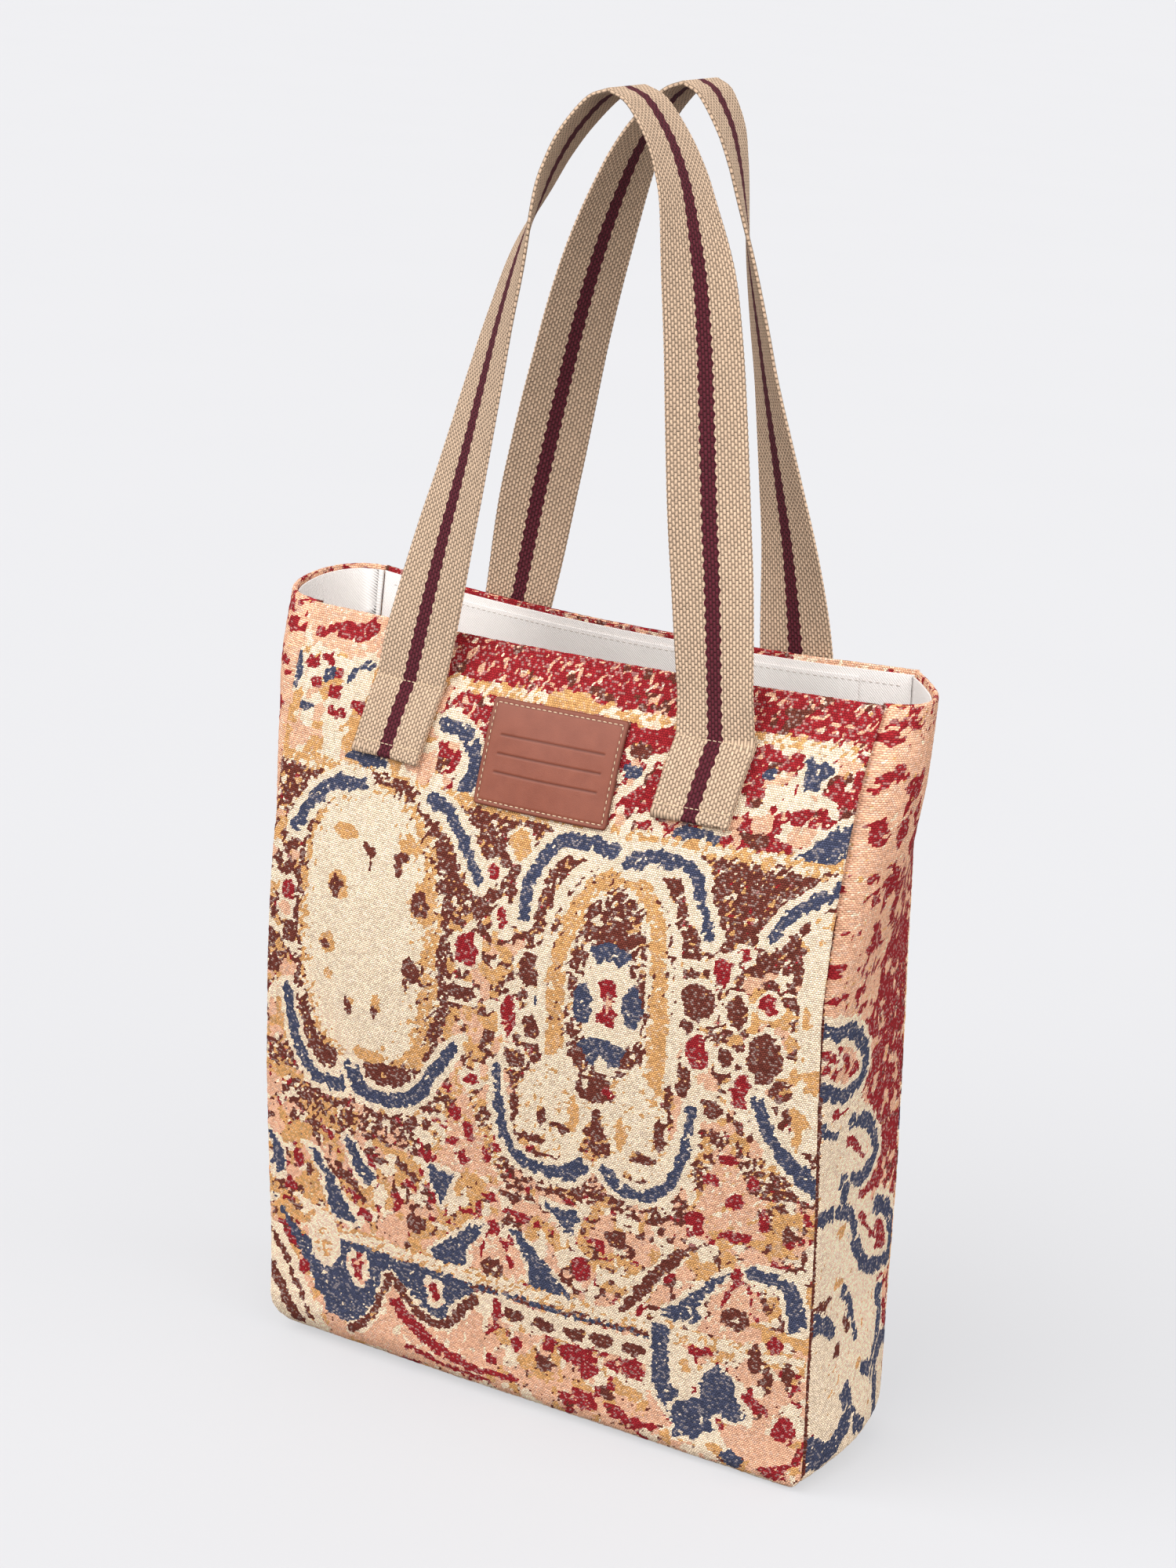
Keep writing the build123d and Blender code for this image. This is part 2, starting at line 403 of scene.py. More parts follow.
def panel_grid(face, move, outward, side_inset, foot, head, corner_radii, pitch, thickness):
    """Outside surface, flat coordinates and edge distance of an upright panel."""
    flat_width = body_width - 2 * side_inset
    us = steps(flat_width, pitch, thickness / 2)
    vs = steps(head - foot, pitch, thickness / 2)
    u, v = np.meshgrid(us, vs)
    z = foot + v
    place = (2 * u / flat_width - 1) * -outward
    radius = np.where(place < 0, corner_radii[0], corner_radii[1])
    lift = np.clip(radius - v, 0, None)
    cut = radius - np.sqrt(np.maximum(radius**2 - lift**2, 0))
    local = place * (half_width(z) - side_inset - cut)
    x = local + move(z)
    surface = np.stack([x, face(x, z), z], -1)
    edge = np.minimum(np.minimum(u, flat_width - u), np.minimum(v, head - foot - v))
    return surface, local, z, edge


def gusset_grid(head, pitch, thickness):
    """Outside surface, flat coordinates and edge distance of the strip that is both sides and the base."""
    flat_run = body_width / 2 - bend_radius
    bend_run = flat_run + bend_radius * math.pi / 2
    half_run = bend_run + head - bend_radius
    mean_depth = body_depth * mean_depth_share
    us = steps(mean_depth, pitch, thickness / 2) / mean_depth
    vs = steps(2 * half_run, pitch, thickness / 2) - half_run
    share, run = np.meshgrid(us, vs)
    away = np.abs(run)
    side = np.where(run < 0, -1, 1)
    angle = np.clip((away - flat_run) / bend_radius, 0, math.pi / 2)
    front_radius = np.where(side > 0, ear_corner_radius, left_corner_radius)
    back_radius = np.where(side > 0, rear_corner_radius, base_corner_radius)
    radius = front_radius + (back_radius - front_radius) * share
    climb = np.clip(away - bend_run, 0, None) / (head - bend_radius)
    z = radius * (1 - np.cos(angle)) + climb * (head - radius)
    base_reach = np.minimum(away, flat_run) / flat_run * (body_width / 2 - radius)
    reach = base_reach + radius * np.sin(angle) + half_width(z) - body_width / 2
    front_x = side * reach
    back_x = front_x + back_move(z)
    near = front_face(front_x, z) + gusset_front_gap
    far = back_face(back_x, z) - gusset_back_gap
    y = near + (far - near) * share
    tuck = seam_tuck * np.exp(-share * mean_depth / tuck_run)
    bow = side * (side_bow(share, side, z) - tuck) * angle / (math.pi / 2)
    x = front_x + (back_x - front_x) * share + bow
    surface = np.stack([x, y, z], -1)
    edge = np.minimum(np.minimum(share, 1 - share) * mean_depth, half_run - away)
    return surface, share * mean_depth, away - flat_run, edge


# Carpet pattern, painted colour over colour in millimetres of flat cloth

CREAM, OCHRE, SALMON, CRIMSON, BROWN, NAVY = range(6)
bead_ring = 2.2
# Paler yarns in the dark colours: colour, yarn and share
flecks = ((NAVY, CREAM, 0.06), (CRIMSON, SALMON, 0.06), (BROWN, OCHRE, 0.05))


class Print:
    """A cloth's pattern on a grid of points, each of which holds one of six colours."""

    def __init__(self, u, v, seed):
        self.seed = seed
        self.u = u + self.ragged(u, v, seed)
        self.v = v + self.ragged(u, v, seed + 2)
        self.colour = np.full(u.shape, CREAM)

    def ragged(self, u, v, seed):
        """How far an outline strays because it follows whole yarns."""
        return 0.9 * noise(u, v, 4.5, seed) + 1.1 * noise(u, v, 1.9, seed + 1)

    def fill(self, colour, where):
        self.colour[where] = colour

    def box(self, low_u, high_u, low_v, high_v):
        return (self.u > low_u) & (self.u < high_u) & (self.v > low_v) & (self.v < high_v)

    def band(self, low_v, high_v):
        return (self.v > low_v) & (self.v < high_v)

    def within(self, u, v, half_u, half_v, power=2.0):
        return np.abs((self.u - u) / half_u) ** power + np.abs((self.v - v) / half_v) ** power < 1

    def oval(self, colour, u, v, half_u, half_v, power=2.0):
        self.fill(colour, self.within(u, v, half_u, half_v, power))

    def distance(self, points):
        """Distance to a smooth line through the points, and the share of the line run there."""
        points = np.asarray(points, float)
        marks = np.arange(len(points))
        along = np.linspace(0, len(points) - 1, 8 * (len(points) - 1) + 1)
        line = np.stack([smooth(marks, points[:, 0], along), smooth(marks, points[:, 1], along)], -1)
        nearest = np.full(self.u.shape, np.inf)
        share = np.zeros(self.u.shape)
        for i in range(len(line) - 1):
            step = line[i + 1] - line[i]
            t = (self.u - line[i, 0]) * step[0] + (self.v - line[i, 1]) * step[1]
            t = np.clip(t / max(step @ step, tiny), 0, 1)
            gap = np.hypot(self.u - line[i, 0] - t * step[0], self.v - line[i, 1] - t * step[1])
            closer = gap < nearest
            nearest = np.where(closer, gap, nearest)
            share = np.where(closer, (i + t) / (len(line) - 1), share)
        return nearest, share

    def stroke(self, colour, width, points, end_width=None, halo=0.0):
        """A smooth line, which may widen along its run, with a cream halo round it."""
        gap, share = self.distance(points)
        half = (width + ((end_width or width) - width) * share) / 2
        if halo:
            self.fill(CREAM, gap < half + halo)
        self.fill(colour, gap < half)

    def shape(self, colour, points, halo=0.0):
        """A filled outline with straight sides, and a cream halo round it."""
        points = np.asarray(points, float)
        inside = np.zeros(self.u.shape, bool)
        for (u0, v0), (u1, v1) in zip(points, np.roll(points, -1, axis=0)):
            crosses = (v0 > self.v) != (v1 > self.v)
            at = u0 + (self.v - v0) * (u1 - u0) / (v1 - v0 if v1 != v0 else tiny)
            inside ^= crosses & (self.u < at)
        if halo:
            for a, b in zip(points, np.roll(points, -1, axis=0)):
                self.stroke(CREAM, 2 * halo, (a, b))
        self.fill(colour, inside)

    def speckle(self, colour, where, size, share):
        """Random blotches that cover about a share of a region."""
        self.seed += 1
        field = noise(self.u, self.v, size, self.seed)
        field = field + 0.5 * noise(self.u, self.v, size / 2, self.seed + 50)
        self.fill(colour, where & (field > np.quantile(field, 1 - share)))

    def stipple(self, colour, where, share):
        """Single yarns of another colour, scattered over a share of a region."""
        self.seed += 1
        drawn = np.random.default_rng(self.seed).uniform(size=self.u.shape)
        self.fill(colour, where & (drawn < share))

    def ground(self, where, colour=None, speckles=(), stipples=()):
        """A region's colour, then blotches (colour, size, share) and single yarns (colour, share)."""
        if colour is not None:
            self.fill(colour, where)
        for blotch, size, share in speckles:
            self.speckle(blotch, where, size, share)
        for yarn, share in stipples:
            self.stipple(yarn, where, share)

    def bead(self, colour, u, v, half_u, half_v):
        self.oval(CREAM, u, v, half_u + bead_ring, half_v + bead_ring)
        self.oval(colour, u, v, half_u, half_v)

    def shares(self):
        """Share of each colour round each point."""
        for colour, fleck, share in flecks:
            self.stipple(fleck, self.colour == colour, share)
        one_hot = np.eye(6)[self.colour]
        for axis in (0, 1):
            ahead = np.roll(one_hot, 1, axis)
            behind = np.roll(one_hot, -1, axis)
            one_hot = 0.8 * one_hot + 0.1 * ahead + 0.1 * behind
        return one_hot


# Smooth lines of the front: colour, width, end width, cream halo and points
front_strokes = (
    (NAVY, 6, 7, 3.4, ((-131, 278), (-126, 288), (-119, 297), (-109, 304), (-95, 306))),
    (NAVY, 7, 5, 3.4, ((-54, 307), (-45, 304), (-38, 297), (-31, 287), (-24, 275))),
    (NAVY, 5, 9, 3.2, (
        (-133, 196), (-130, 180), (-126, 167), (-119, 156), (-109, 152), (-99, 154), (-94, 165),
    )),
    (NAVY, 9, 6, 3.2, ((-93, 164), (-89, 154), (-77, 152), (-63, 155), (-53, 163), (-45, 175), (-34, 191))),
    (NAVY, 5, 8, 3.4, ((1, 264), (2, 280), (7, 292), (16, 302), (30, 304), (43, 302), (51, 298))),
    (NAVY, 8, 5, 3.4, ((51, 299), (58, 303), (69, 303), (78, 301), (83, 293), (87, 284), (92, 272))),
    (NAVY, 4, 9, 3.0, ((-10, 188), (-9, 168), (-5, 150), (3, 141), (15, 139), (26, 141), (33, 146))),
    (NAVY, 7, 5, 3.0, ((47, 147), (55, 140), (67, 139), (77, 146), (82, 156), (86, 168), (89, 189))),
    (NAVY, 5, 6, 3.2, ((119, 277), (127, 289), (137, 297), (148, 304))),
    (NAVY, 5, 9, 3.0, ((119, 201), (125, 184), (133, 174), (148, 161))),
    (NAVY, 5, 9, 1.8, ((-97, 124), (-92, 114), (-87, 106))),
    (NAVY, 6, 10, 2.2, ((120, 111), (131, 110), (139, 104), (142, 90))),
    (BROWN, 4, 7, 1.6, ((53, 74), (62, 84), (72, 98), (84, 112))),
    (NAVY, 3, 8, 1.6, ((-146, 113), (-141, 107), (-142, 96))),
)
# Navy wedges of the front: corners
front_wedges = (
    ((-122, 114), (-116, 111), (-92, 76), (-108, 78), (-113, 97)),
    ((-19, 100), (-26, 98), (-54, 72), (-31, 71), (-29, 84)),
    ((-5, 102), (2, 99), (30, 71), (6, 70), (4, 84)),
    ((110, 110), (104, 107), (72, 76), (93, 77), (96, 93)),
    ((-52, 124), (-34, 122), (-43, 103)),
    ((13, 122), (32, 120), (29, 104)),
)
# Ovals of the front that a cream ring sets off: colour, centre and half sizes
front_beads = (
    (CRIMSON, -27, 243, 6, 9), (BROWN, -29, 221, 8, 4), (CRIMSON, -4, 216, 4, 10), (BROWN, 8, 241, 8, 9),
    (BROWN, 8, 213, 4.5, 7), (BROWN, 88, 242, 9, 9), (CRIMSON, 90, 218, 5.5, 8.5),
    (BROWN, 121, 221, 8, 12), (CRIMSON, 111, 203, 4.5, 8), (CRIMSON, 121, 246, 5, 5),
    (CRIMSON, 99, 259, 4.5, 6.5), (BROWN, 107, 241, 5, 8), (CRIMSON, -133, 246, 4, 6),
    (BROWN, -131, 226, 5, 8), (SALMON, -134, 236, 4, 4), (BROWN, 103, 218, 4, 5),
    (BROWN, 84, 203, 3.5, 8), (CRIMSON, -10, 262, 3, 5), (CRIMSON, -16, 282, 3.5, 4),
    (OCHRE, -5, 297, 5, 7), (NAVY, 11, 226, 3, 4), (BROWN, -1, 195, 6, 5), (BROWN, 97, 192, 6, 5),
    (CRIMSON, -24, 177, 4.5, 3), (CRIMSON, 109, 268, 3, 3), (BROWN, 124, 196, 5, 5),
)
# Middle line of the ochre arch inside the right medallion
medallion_arch = (
    (21, 196), (20, 240), (25, 268), (34, 285), (47, 292),
    (59, 287), (67, 270), (71, 240), (70, 200), (64, 176),
)
# Plain ovals painted over the medallions: colour, centre and half sizes
medallion_spots = (
    (OCHRE, -101, 283, 7, 4), (OCHRE, -63, 283, 6, 4), (BROWN, -86, 277, 5, 2.2),
    (BROWN, -85, 272, 1.8, 5), (BROWN, -67, 278, 5, 2.2), (BROWN, -68, 273, 2.4, 4.5),
    (OCHRE, -103, 256, 6, 7), (BROWN, -104, 255, 3.5, 6), (OCHRE, -53, 258, 7, 9),
    (BROWN, -54, 258, 4.5, 6.5), (OCHRE, -108, 226, 4, 6), (BROWN, -109, 225, 1.6, 3),
    (BROWN, -58, 225, 5, 6.5), (BROWN, -60, 217, 2, 3), (OCHRE, -107, 210, 2.2, 2.6),
    (BROWN, -95, 196, 2.6, 5), (OCHRE, -93, 199, 2.4, 2), (OCHRE, -78, 202, 2.4, 5),
    (BROWN, -79, 198, 1.8, 4), (BROWN, -112, 168, 9, 5), (BROWN, -72, 167, 17, 4.5),
    (OCHRE, -84, 173, 10, 3), (OCHRE, -55, 180, 4, 6), (BROWN, -46, 196, 3, 5), (BROWN, 46, 264, 11, 4),
    (NAVY, 46, 256, 10, 5.5), (CREAM, 46, 251, 3, 2.5), (NAVY, 34, 231, 5, 10), (NAVY, 58, 233, 4.6, 12),
    (CRIMSON, 46, 239, 4.8, 6), (CRIMSON, 46, 226, 4.8, 6), (SALMON, 46, 233, 1.8, 4),
    (NAVY, 44, 208, 11.5, 7), (CREAM, 44, 203, 3, 3.4), (BROWN, 32, 204, 3, 5), (BROWN, 57, 206, 3, 4),
    (BROWN, 40, 188, 9.5, 7), (CRIMSON, 47, 189, 3, 3), (CREAM, 36, 190, 2, 2), (BROWN, -1, 169, 2.6, 7),
    (BROWN, 13, 167, 2.2, 6), (BROWN, 24, 164, 5, 2.4), (BROWN, 42, 174, 2.2, 6), (BROWN, 9, 155, 7, 2.4),
    (BROWN, 73, 172, 3, 8), (BROWN, 66, 158, 7, 2.6), (OCHRE, 30, 174, 2.4, 10), (OCHRE, 54, 168, 2.6, 8),
)
# Marks of the lower band: colour, centre and half sizes
lower_spots = (
    (CRIMSON, -38, 169, 3, 2.5), (CRIMSON, -33, 157, 4, 5), (CRIMSON, -26, 149, 3, 6),
    (CRIMSON, -36, 141, 4, 2.5), (CRIMSON, -30, 133, 3, 4), (CRIMSON, -50, 129, 6, 3),
    (CRIMSON, -17, 139, 2.5, 4), (CRIMSON, -11, 146, 2, 4), (CRIMSON, 107, 168, 4, 2.5),
    (CRIMSON, 99, 155, 4, 3), (CRIMSON, 111, 147, 4, 5), (CRIMSON, 91, 133, 5, 4),
    (CRIMSON, 110, 128, 8, 3), (CRIMSON, 119, 158, 3, 4), (CRIMSON, 124, 140, 3, 5),
    (CRIMSON, -128, 104, 3, 5), (CRIMSON, -134, 88, 4, 4), (CRIMSON, -84, 112, 3, 6),
    (CRIMSON, -69, 97, 3, 5), (CRIMSON, -62, 109, 4, 3), (CRIMSON, -88, 84, 4, 3), (BROWN, -58, 88, 5, 6),
    (BROWN, -66, 118, 4, 3), (CRIMSON, 33, 90, 5, 7), (CRIMSON, 44, 106, 3, 4), (BROWN, 52, 112, 6, 5),
    (CRIMSON, 78, 100, 4, 5), (CRIMSON, 55, 76, 5, 3.5), (CRIMSON, 63, 78, 3, 4), (CRIMSON, 0, 110, 5, 3),
    (CRIMSON, -15, 116, 4, 3), (BROWN, -4, 120, 6, 2.5),
)
# The foot's navy field, the zigzag line over it and the navy scroll: points
foot_field = ((-148, 84), (-128, 60), (-108, 66), (-26, 63), (-30, 36), (-86, 18), (-112, 20), (-124, 44))
foot_zigzag = (
    (-100, 14), (-87, 26), (-81, 40), (-74, 54), (-67, 45),
    (-58, 37), (-48, 34), (-40, 38), (-32, 50), (-22, 58),
)
foot_scroll = ((96, 52), (103, 57), (111, 52), (118, 30), (100, 28), (104, 16), (82, 12), (80, 28), (94, 38))
# Marks of the foot: colour, centre and half sizes
foot_spots = (
    (BROWN, -4, 53, 6, 4), (BROWN, 12, 52, 7, 3.5), (BROWN, 29, 52, 6, 4), (BROWN, 44, 53, 7, 3.5),
    (BROWN, 60, 53, 6, 4), (CRIMSON, -14, 50, 3, 9), (CRIMSON, 30, 40, 10, 5.5), (CRIMSON, 35, 33, 4, 6),
    (CRIMSON, 56, 41, 11, 4), (CRIMSON, 33, 17, 8, 6), (CRIMSON, 60, 13, 14, 2.6),
    (CRIMSON, -3, 36, 3, 4), (BROWN, 12, 30, 4, 5), (OCHRE, 2, 28, 6, 4), (BROWN, 46, 24, 4, 3),
    (OCHRE, 58, 28, 7, 4), (CRIMSON, 120, 44, 3, 5), (CRIMSON, 138, 31, 6, 8), (CRIMSON, 132, 75, 4, 5),
    (CRIMSON, 96, 63, 7, 2), (BROWN, 122, 66, 3, 9), (BROWN, 128, 56, 2.5, 9), (BROWN, 139, 62, 2.5, 8),
    (OCHRE, 124, 84, 6, 2.5),
)
# Marks of the head: colour, centre and half sizes
head_spots = (
    (CRIMSON, -119, 371, 12, 3.6), (CRIMSON, -134, 368, 5, 2.6), (CRIMSON, -108, 374, 4, 4),
    (CRIMSON, -76, 370, 10, 6), (CRIMSON, -135, 354, 4, 3), (CRIMSON, -126, 357, 3.5, 2.4),
    (CRIMSON, -117, 352, 3, 3), (CRIMSON, -131, 346, 3, 2.6), (CRIMSON, -119, 344, 4, 3),
    (NAVY, -124, 351, 3.4, 3.4), (CRIMSON, -116, 335, 6, 2.4), (CRIMSON, -104, 340, 4, 3),
    (NAVY, -134, 335, 5, 2), (NAVY, -94, 318, 12, 3.6), (SALMON, -64, 323, 9, 5),
    (CRIMSON, -56, 346, 3, 4), (CRIMSON, -47, 327, 2.4, 6), (CRIMSON, -38, 348, 5, 3.4),
    (CRIMSON, -52, 331, 3, 2.4), (SALMON, -47, 333, 4, 2.4), (CRIMSON, 50, 352, 8, 5),
    (CRIMSON, 54, 331, 5, 10), (NAVY, 42, 338, 5, 2.8), (BROWN, 44, 347, 6, 3), (CRIMSON, 98, 346, 5, 9),
    (SALMON, 106, 326, 5, 5), (CRIMSON, 138, 341, 8, 3), (CRIMSON, 112, 352, 4, 3.4),
    (BROWN, 104, 318, 6, 3), (CRIMSON, 114, 316, 4, 4), (NAVY, 78, 316, 11, 3.6), (NAVY, 104, 346, 3, 3),
    (CRIMSON, 44, 322, 3, 4), (OCHRE, 5, 361, 12, 4),
)


def paint_medallions(cloth):
    """The row of pale medallions with navy and cream outlines on the brown field."""
    cloth.oval(BROWN, -83, 236, 46, 77, 2.5)
    cloth.ground(cloth.within(-84, 236, 42, 72, 2.5), OCHRE, stipples=((BROWN, 0.24),))
    cloth.stipple(CREAM, cloth.within(-84, 236, 46, 76, 2.5), 0.22)
    middle = cloth.within(-87, 237, 35, 69, 2.5)
    cloth.fill(CREAM, middle)
    cloth.stipple(OCHRE, middle & ~cloth.within(-89, 237, 28, 62, 2.5), 0.16)
    cloth.oval(CREAM, 46, 236, 36, 66, 2.3)
    cloth.ground(cloth.within(46, 240, 32, 56, 2.3), BROWN, stipples=((CREAM, 0.22), (OCHRE, 0.12)))
    cloth.stroke(OCHRE, 8, medallion_arch, 9, 1.6)
    cloth.ground(cloth.within(46, 240, 30, 56, 2.3), stipples=((CREAM, 0.10), (BROWN, 0.08)))
    cloth.shape(CREAM, ((24, 206), (6, 190), (-4, 168), (4, 150), (30, 148), (44, 184)))
    cloth.shape(CREAM, ((62, 206), (74, 190), (81, 168), (72, 148), (48, 148), (46, 184)))
    cloth.stipple(OCHRE, cloth.box(-4, 82, 148, 196), 0.16)
    cloth.oval(CREAM, 46, 230, 17.5, 38)
    cloth.stipple(BROWN, cloth.within(46, 230, 17.5, 38) & ~cloth.within(46, 230, 12, 33), 0.5)
    for spot in medallion_spots:
        cloth.oval(*spot)


def paint_lower_band(cloth):
    """Ochre and salmon band with navy wedges and pink domes, above a cream line."""
    blotches = ((SALMON, 12, 0.42), (CREAM, 6, 0.30), (CRIMSON, 4.5, 0.10), (BROWN, 4.5, 0.13))
    cloth.ground(cloth.band(66, 152), OCHRE, blotches, ((BROWN, 0.05),))
    for left, right in ((-132, -56), (-14, 86)):
        cloth.stipple(BROWN, cloth.box(left, right, 127, 148), 0.52)
    for u, v in ((-28, 146), (107, 150)):
        cloth.shape(SALMON, ((u - 19, v - 20), (u, v + 28), (u + 19, v - 20)))
        cloth.ground(cloth.box(u - 20, u + 20, v - 20, v + 28), stipples=((CREAM, 0.18), (OCHRE, 0.14)))
    for spot in lower_spots:
        cloth.oval(*spot)
    for corners in front_wedges:
        cloth.shape(NAVY, corners, 2.0)
    for u, v in ((-14, 80), (113, 88)):
        cloth.ground(cloth.within(u, v, 14, 17), SALMON, stipples=((CREAM, 0.25),))
        bow = ((u - 8, v + 2), (u - 4, v + 13), (u + 1, v + 17), (u + 6, v + 12), (u + 9, v))
        cloth.stroke(CRIMSON, 2, bow)
        cloth.oval(BROWN, u - 1, v - 3, 6.5, 6)
        cloth.oval(CREAM, u - 1, v - 3, 1.6, 1.6)
        cloth.oval(CRIMSON, u, v + 20, 3, 4)


def paint_foot(cloth):
    """Navy field with a zigzag at the left, blotched red ground, and a navy scroll at the right."""
    blotches = ((CREAM, 7, 0.34), (OCHRE, 6, 0.20), (CRIMSON, 8, 0.16))
    cloth.ground(cloth.band(-50, 66), SALMON, blotches, ((BROWN, 0.07),))
    cloth.fill(CREAM, cloth.box(-114, 200, 65, 72))
    cloth.stipple(OCHRE, cloth.box(-114, 200, 64, 74), 0.30)
    cloth.shape(NAVY, foot_field)
    cloth.shape(SALMON, ((-104, 8), *foot_zigzag, (-20, 8)))
    cloth.speckle(CREAM, cloth.box(-80, -20, 8, 44), 4, 0.22)
    cloth.stroke(BROWN, 3.4, foot_zigzag, 5, 1.5)
    cloth.stroke(CRIMSON, 7, ((-72, 38), (-62, 29), (-46, 19)), 9)
    cloth.stroke(CRIMSON, 6, ((-44, 19), (-24, 15), (-4, 17)), 3)
    cloth.stroke(CRIMSON, 3, ((-66, 16), (-50, 12), (-20, 9)))
    for u, half_u, half_v in ((-94, 6.5, 12), (-49, 6, 10)):
        cloth.oval(CREAM, u, 52.5, half_u, half_v)
        cloth.oval(CRIMSON, u, 52.5, half_u - 3.6, half_v - 4)
        cloth.stipple(SALMON, cloth.within(u, 52.5, half_u, half_v), 0.2)
    cloth.oval(CREAM, -114, 62, 9, 16)
    cloth.oval(OCHRE, -115, 60, 5, 9)
    cloth.stipple(CREAM, cloth.within(-114, 60, 8, 14), 0.4)
    cloth.shape(CREAM, ((-150, 66), (-140, 62), (-112, 8), (-150, -4)))
    cloth.stroke(BROWN, 3, ((-146, 58), (-134, 38), (-122, 12)))
    cloth.stroke(BROWN, 5, ((-148, 38), (-140, 26), (-132, 10)), 8)
    cloth.fill(NAVY, cloth.box(-104, 76, 61, 64.5))
    cloth.stipple(BROWN, cloth.box(-30, 76, 61, 65), 0.45)
    cloth.fill(CREAM, cloth.box(-24, 68, 47, 60))
    for spot in foot_spots:
        cloth.oval(*spot)
    cloth.stroke(NAVY, 9, ((74, 68), (74, 50), (77, 34), (88, 22)), 12, 2.0)
    cloth.oval(CREAM, 86, 48, 7, 14)
    cloth.oval(OCHRE, 87, 52, 3, 5)
    cloth.shape(NAVY, foot_scroll, 1.8)
    cloth.oval(SALMON, 124, 19, 20, 9)
    cloth.stroke(CREAM, 4, ((113, 8), (104, 18), (95, 13), (101, 5)))
    cloth.oval(NAVY, 112, 8, 5, 5)
    cloth.fill(CREAM, cloth.v < 3)


def paint_head(cloth):
    """Red band under the rim, and the scrolled border between it and the medallions."""
    blotches = ((CREAM, 5, 0.34), (SALMON, 6, 0.16), (BROWN, 5, 0.12))
    cloth.ground(cloth.band(312, 359), CRIMSON, blotches)
    cloth.ground(cloth.box(-200, -58, 312, 362), CREAM, ((OCHRE, 7, 0.50), (SALMON, 6, 0.14)))
    cloth.ground(cloth.v > 361, CRIMSON, ((BROWN, 6, 0.12),), ((SALMON, 0.13), (CREAM, 0.05)))
    cloth.ground(cloth.box(-200, -62, 361, 450), SALMON, stipples=((CREAM, 0.25),))
    cloth.fill(CREAM, cloth.box(-60, 140, 357.5, 362.5))
    cloth.stipple(OCHRE, cloth.box(-60, 140, 357, 363), 0.45)
    for spot in head_spots:
        cloth.oval(*spot)
    cloth.stroke(NAVY, 4, ((-146, 358), (-142, 350), (-144, 342)), 4, 1.8)
    cloth.stroke(NAVY, 4, ((-112, 352), (-107, 357), (-101, 360)), 4, 1.8)
    cloth.stroke(NAVY, 7, ((-55, 341), (-45, 340), (-37, 332), (-35, 323), (-39, 314)), 8, 3.0)
    cloth.stroke(CREAM, 3, ((38, 328), (46, 334), (50, 344), (60, 348)))
    cloth.stroke(CREAM, 3.5, ((92, 330), (104, 330), (112, 340), (120, 336), (132, 338)))
    cloth.shape(NAVY, ((119, 357), (132, 353), (127, 343), (120, 340)), 1.8)
    cloth.shape(NAVY, ((121, 312), (150, 308), (150, 334), (136, 326)), 2.0)
    cloth.ground(cloth.band(307, 314), OCHRE, stipples=((CREAM, 0.40),))
    cloth.stipple(BROWN, cloth.band(306, 309), 0.35)


def paint_front(u, v):
    """Brown field with its bead chains, the bands above and below it, and the medallions over it."""
    cloth = Print(u, v, front_print_seed)
    yarns = ((OCHRE, 0.10), (CREAM, 0.11), (CRIMSON, 0.05))
    cloth.ground(cloth.band(150, 309), BROWN, stipples=yarns)
    for chain in ((-42, 14, 165, 258), (80, 140, 165, 262), (-200, -128, 165, 290)):
        cloth.ground(cloth.box(*chain), speckles=((CREAM, 5, 0.26), (SALMON, 8, 0.16), (OCHRE, 6, 0.20)))
    cloth.ground(cloth.box(135, 200, 178, 292), CREAM, ((OCHRE, 6, 0.35),))
    paint_lower_band(cloth)
    paint_foot(cloth)
    paint_head(cloth)
    for bead in front_beads:
        cloth.bead(*bead)
    paint_medallions(cloth)
    for colour, width, end_width, halo, points in front_strokes:
        cloth.stroke(colour, width, points, end_width, halo)
    return cloth.shares()


back_print_shift = 24


def paint_back(u, v):
    """The same cloth, cut from another part of the repeat."""
    return paint_front(back_print_shift - u, v)


# Leaf rings on the sides: width and points of the navy line, and the red heart's two ends
side_leaves = (
    (8, ((0, 241), (20, 236), (37, 220), (37, 207), (20, 204), (0, 213)), ((2, 230), (12, 223))),
    (8, ((30, 187), (45, 181), (57, 167), (60, 156), (45, 151), (25, 157)), ((28, 178), (47, 161))),
    (9, ((66, 127), (80, 118), (88, 101), (86, 90), (70, 92), (54, 101), (45, 113), (37, 130)),
     ((46, 130), (66, 108))),
)
# Navy stems on the sides: width, end width and points
side_stems = (
    (9, 9, ((0, 147), (12, 145), (22, 142), (28, 151))),
    (8, 5, ((22, 142), (34, 136), (42, 122))),
    (5, 3, ((0, 196), (8, 189), (18, 184))),
    (12, 7, ((0, 92), (10, 88), (20, 80))),
    (7, 5, ((32, 96), (39, 85), (45, 66))),
    (8, 8, ((76, 76), (75, 58), (62, 42), (50, 46))),
    (9, 6, ((62, 36), (76, 46), (90, 42), (98, 37))),
    (10, 8, ((30, 44), (33, 30), (45, 18))),
    (16, 10, ((0, 24), (14, 18), (30, 30))),
    (9, 7, ((66, 34), (64, 20), (72, 4))),
    (7, 6, ((98, 70), (92, 62), (98, 52))),
)
# Where the sides turn into the base, and how wide the painted shade line along their front edge is
base_edge = -4
seam_shade = 1.3
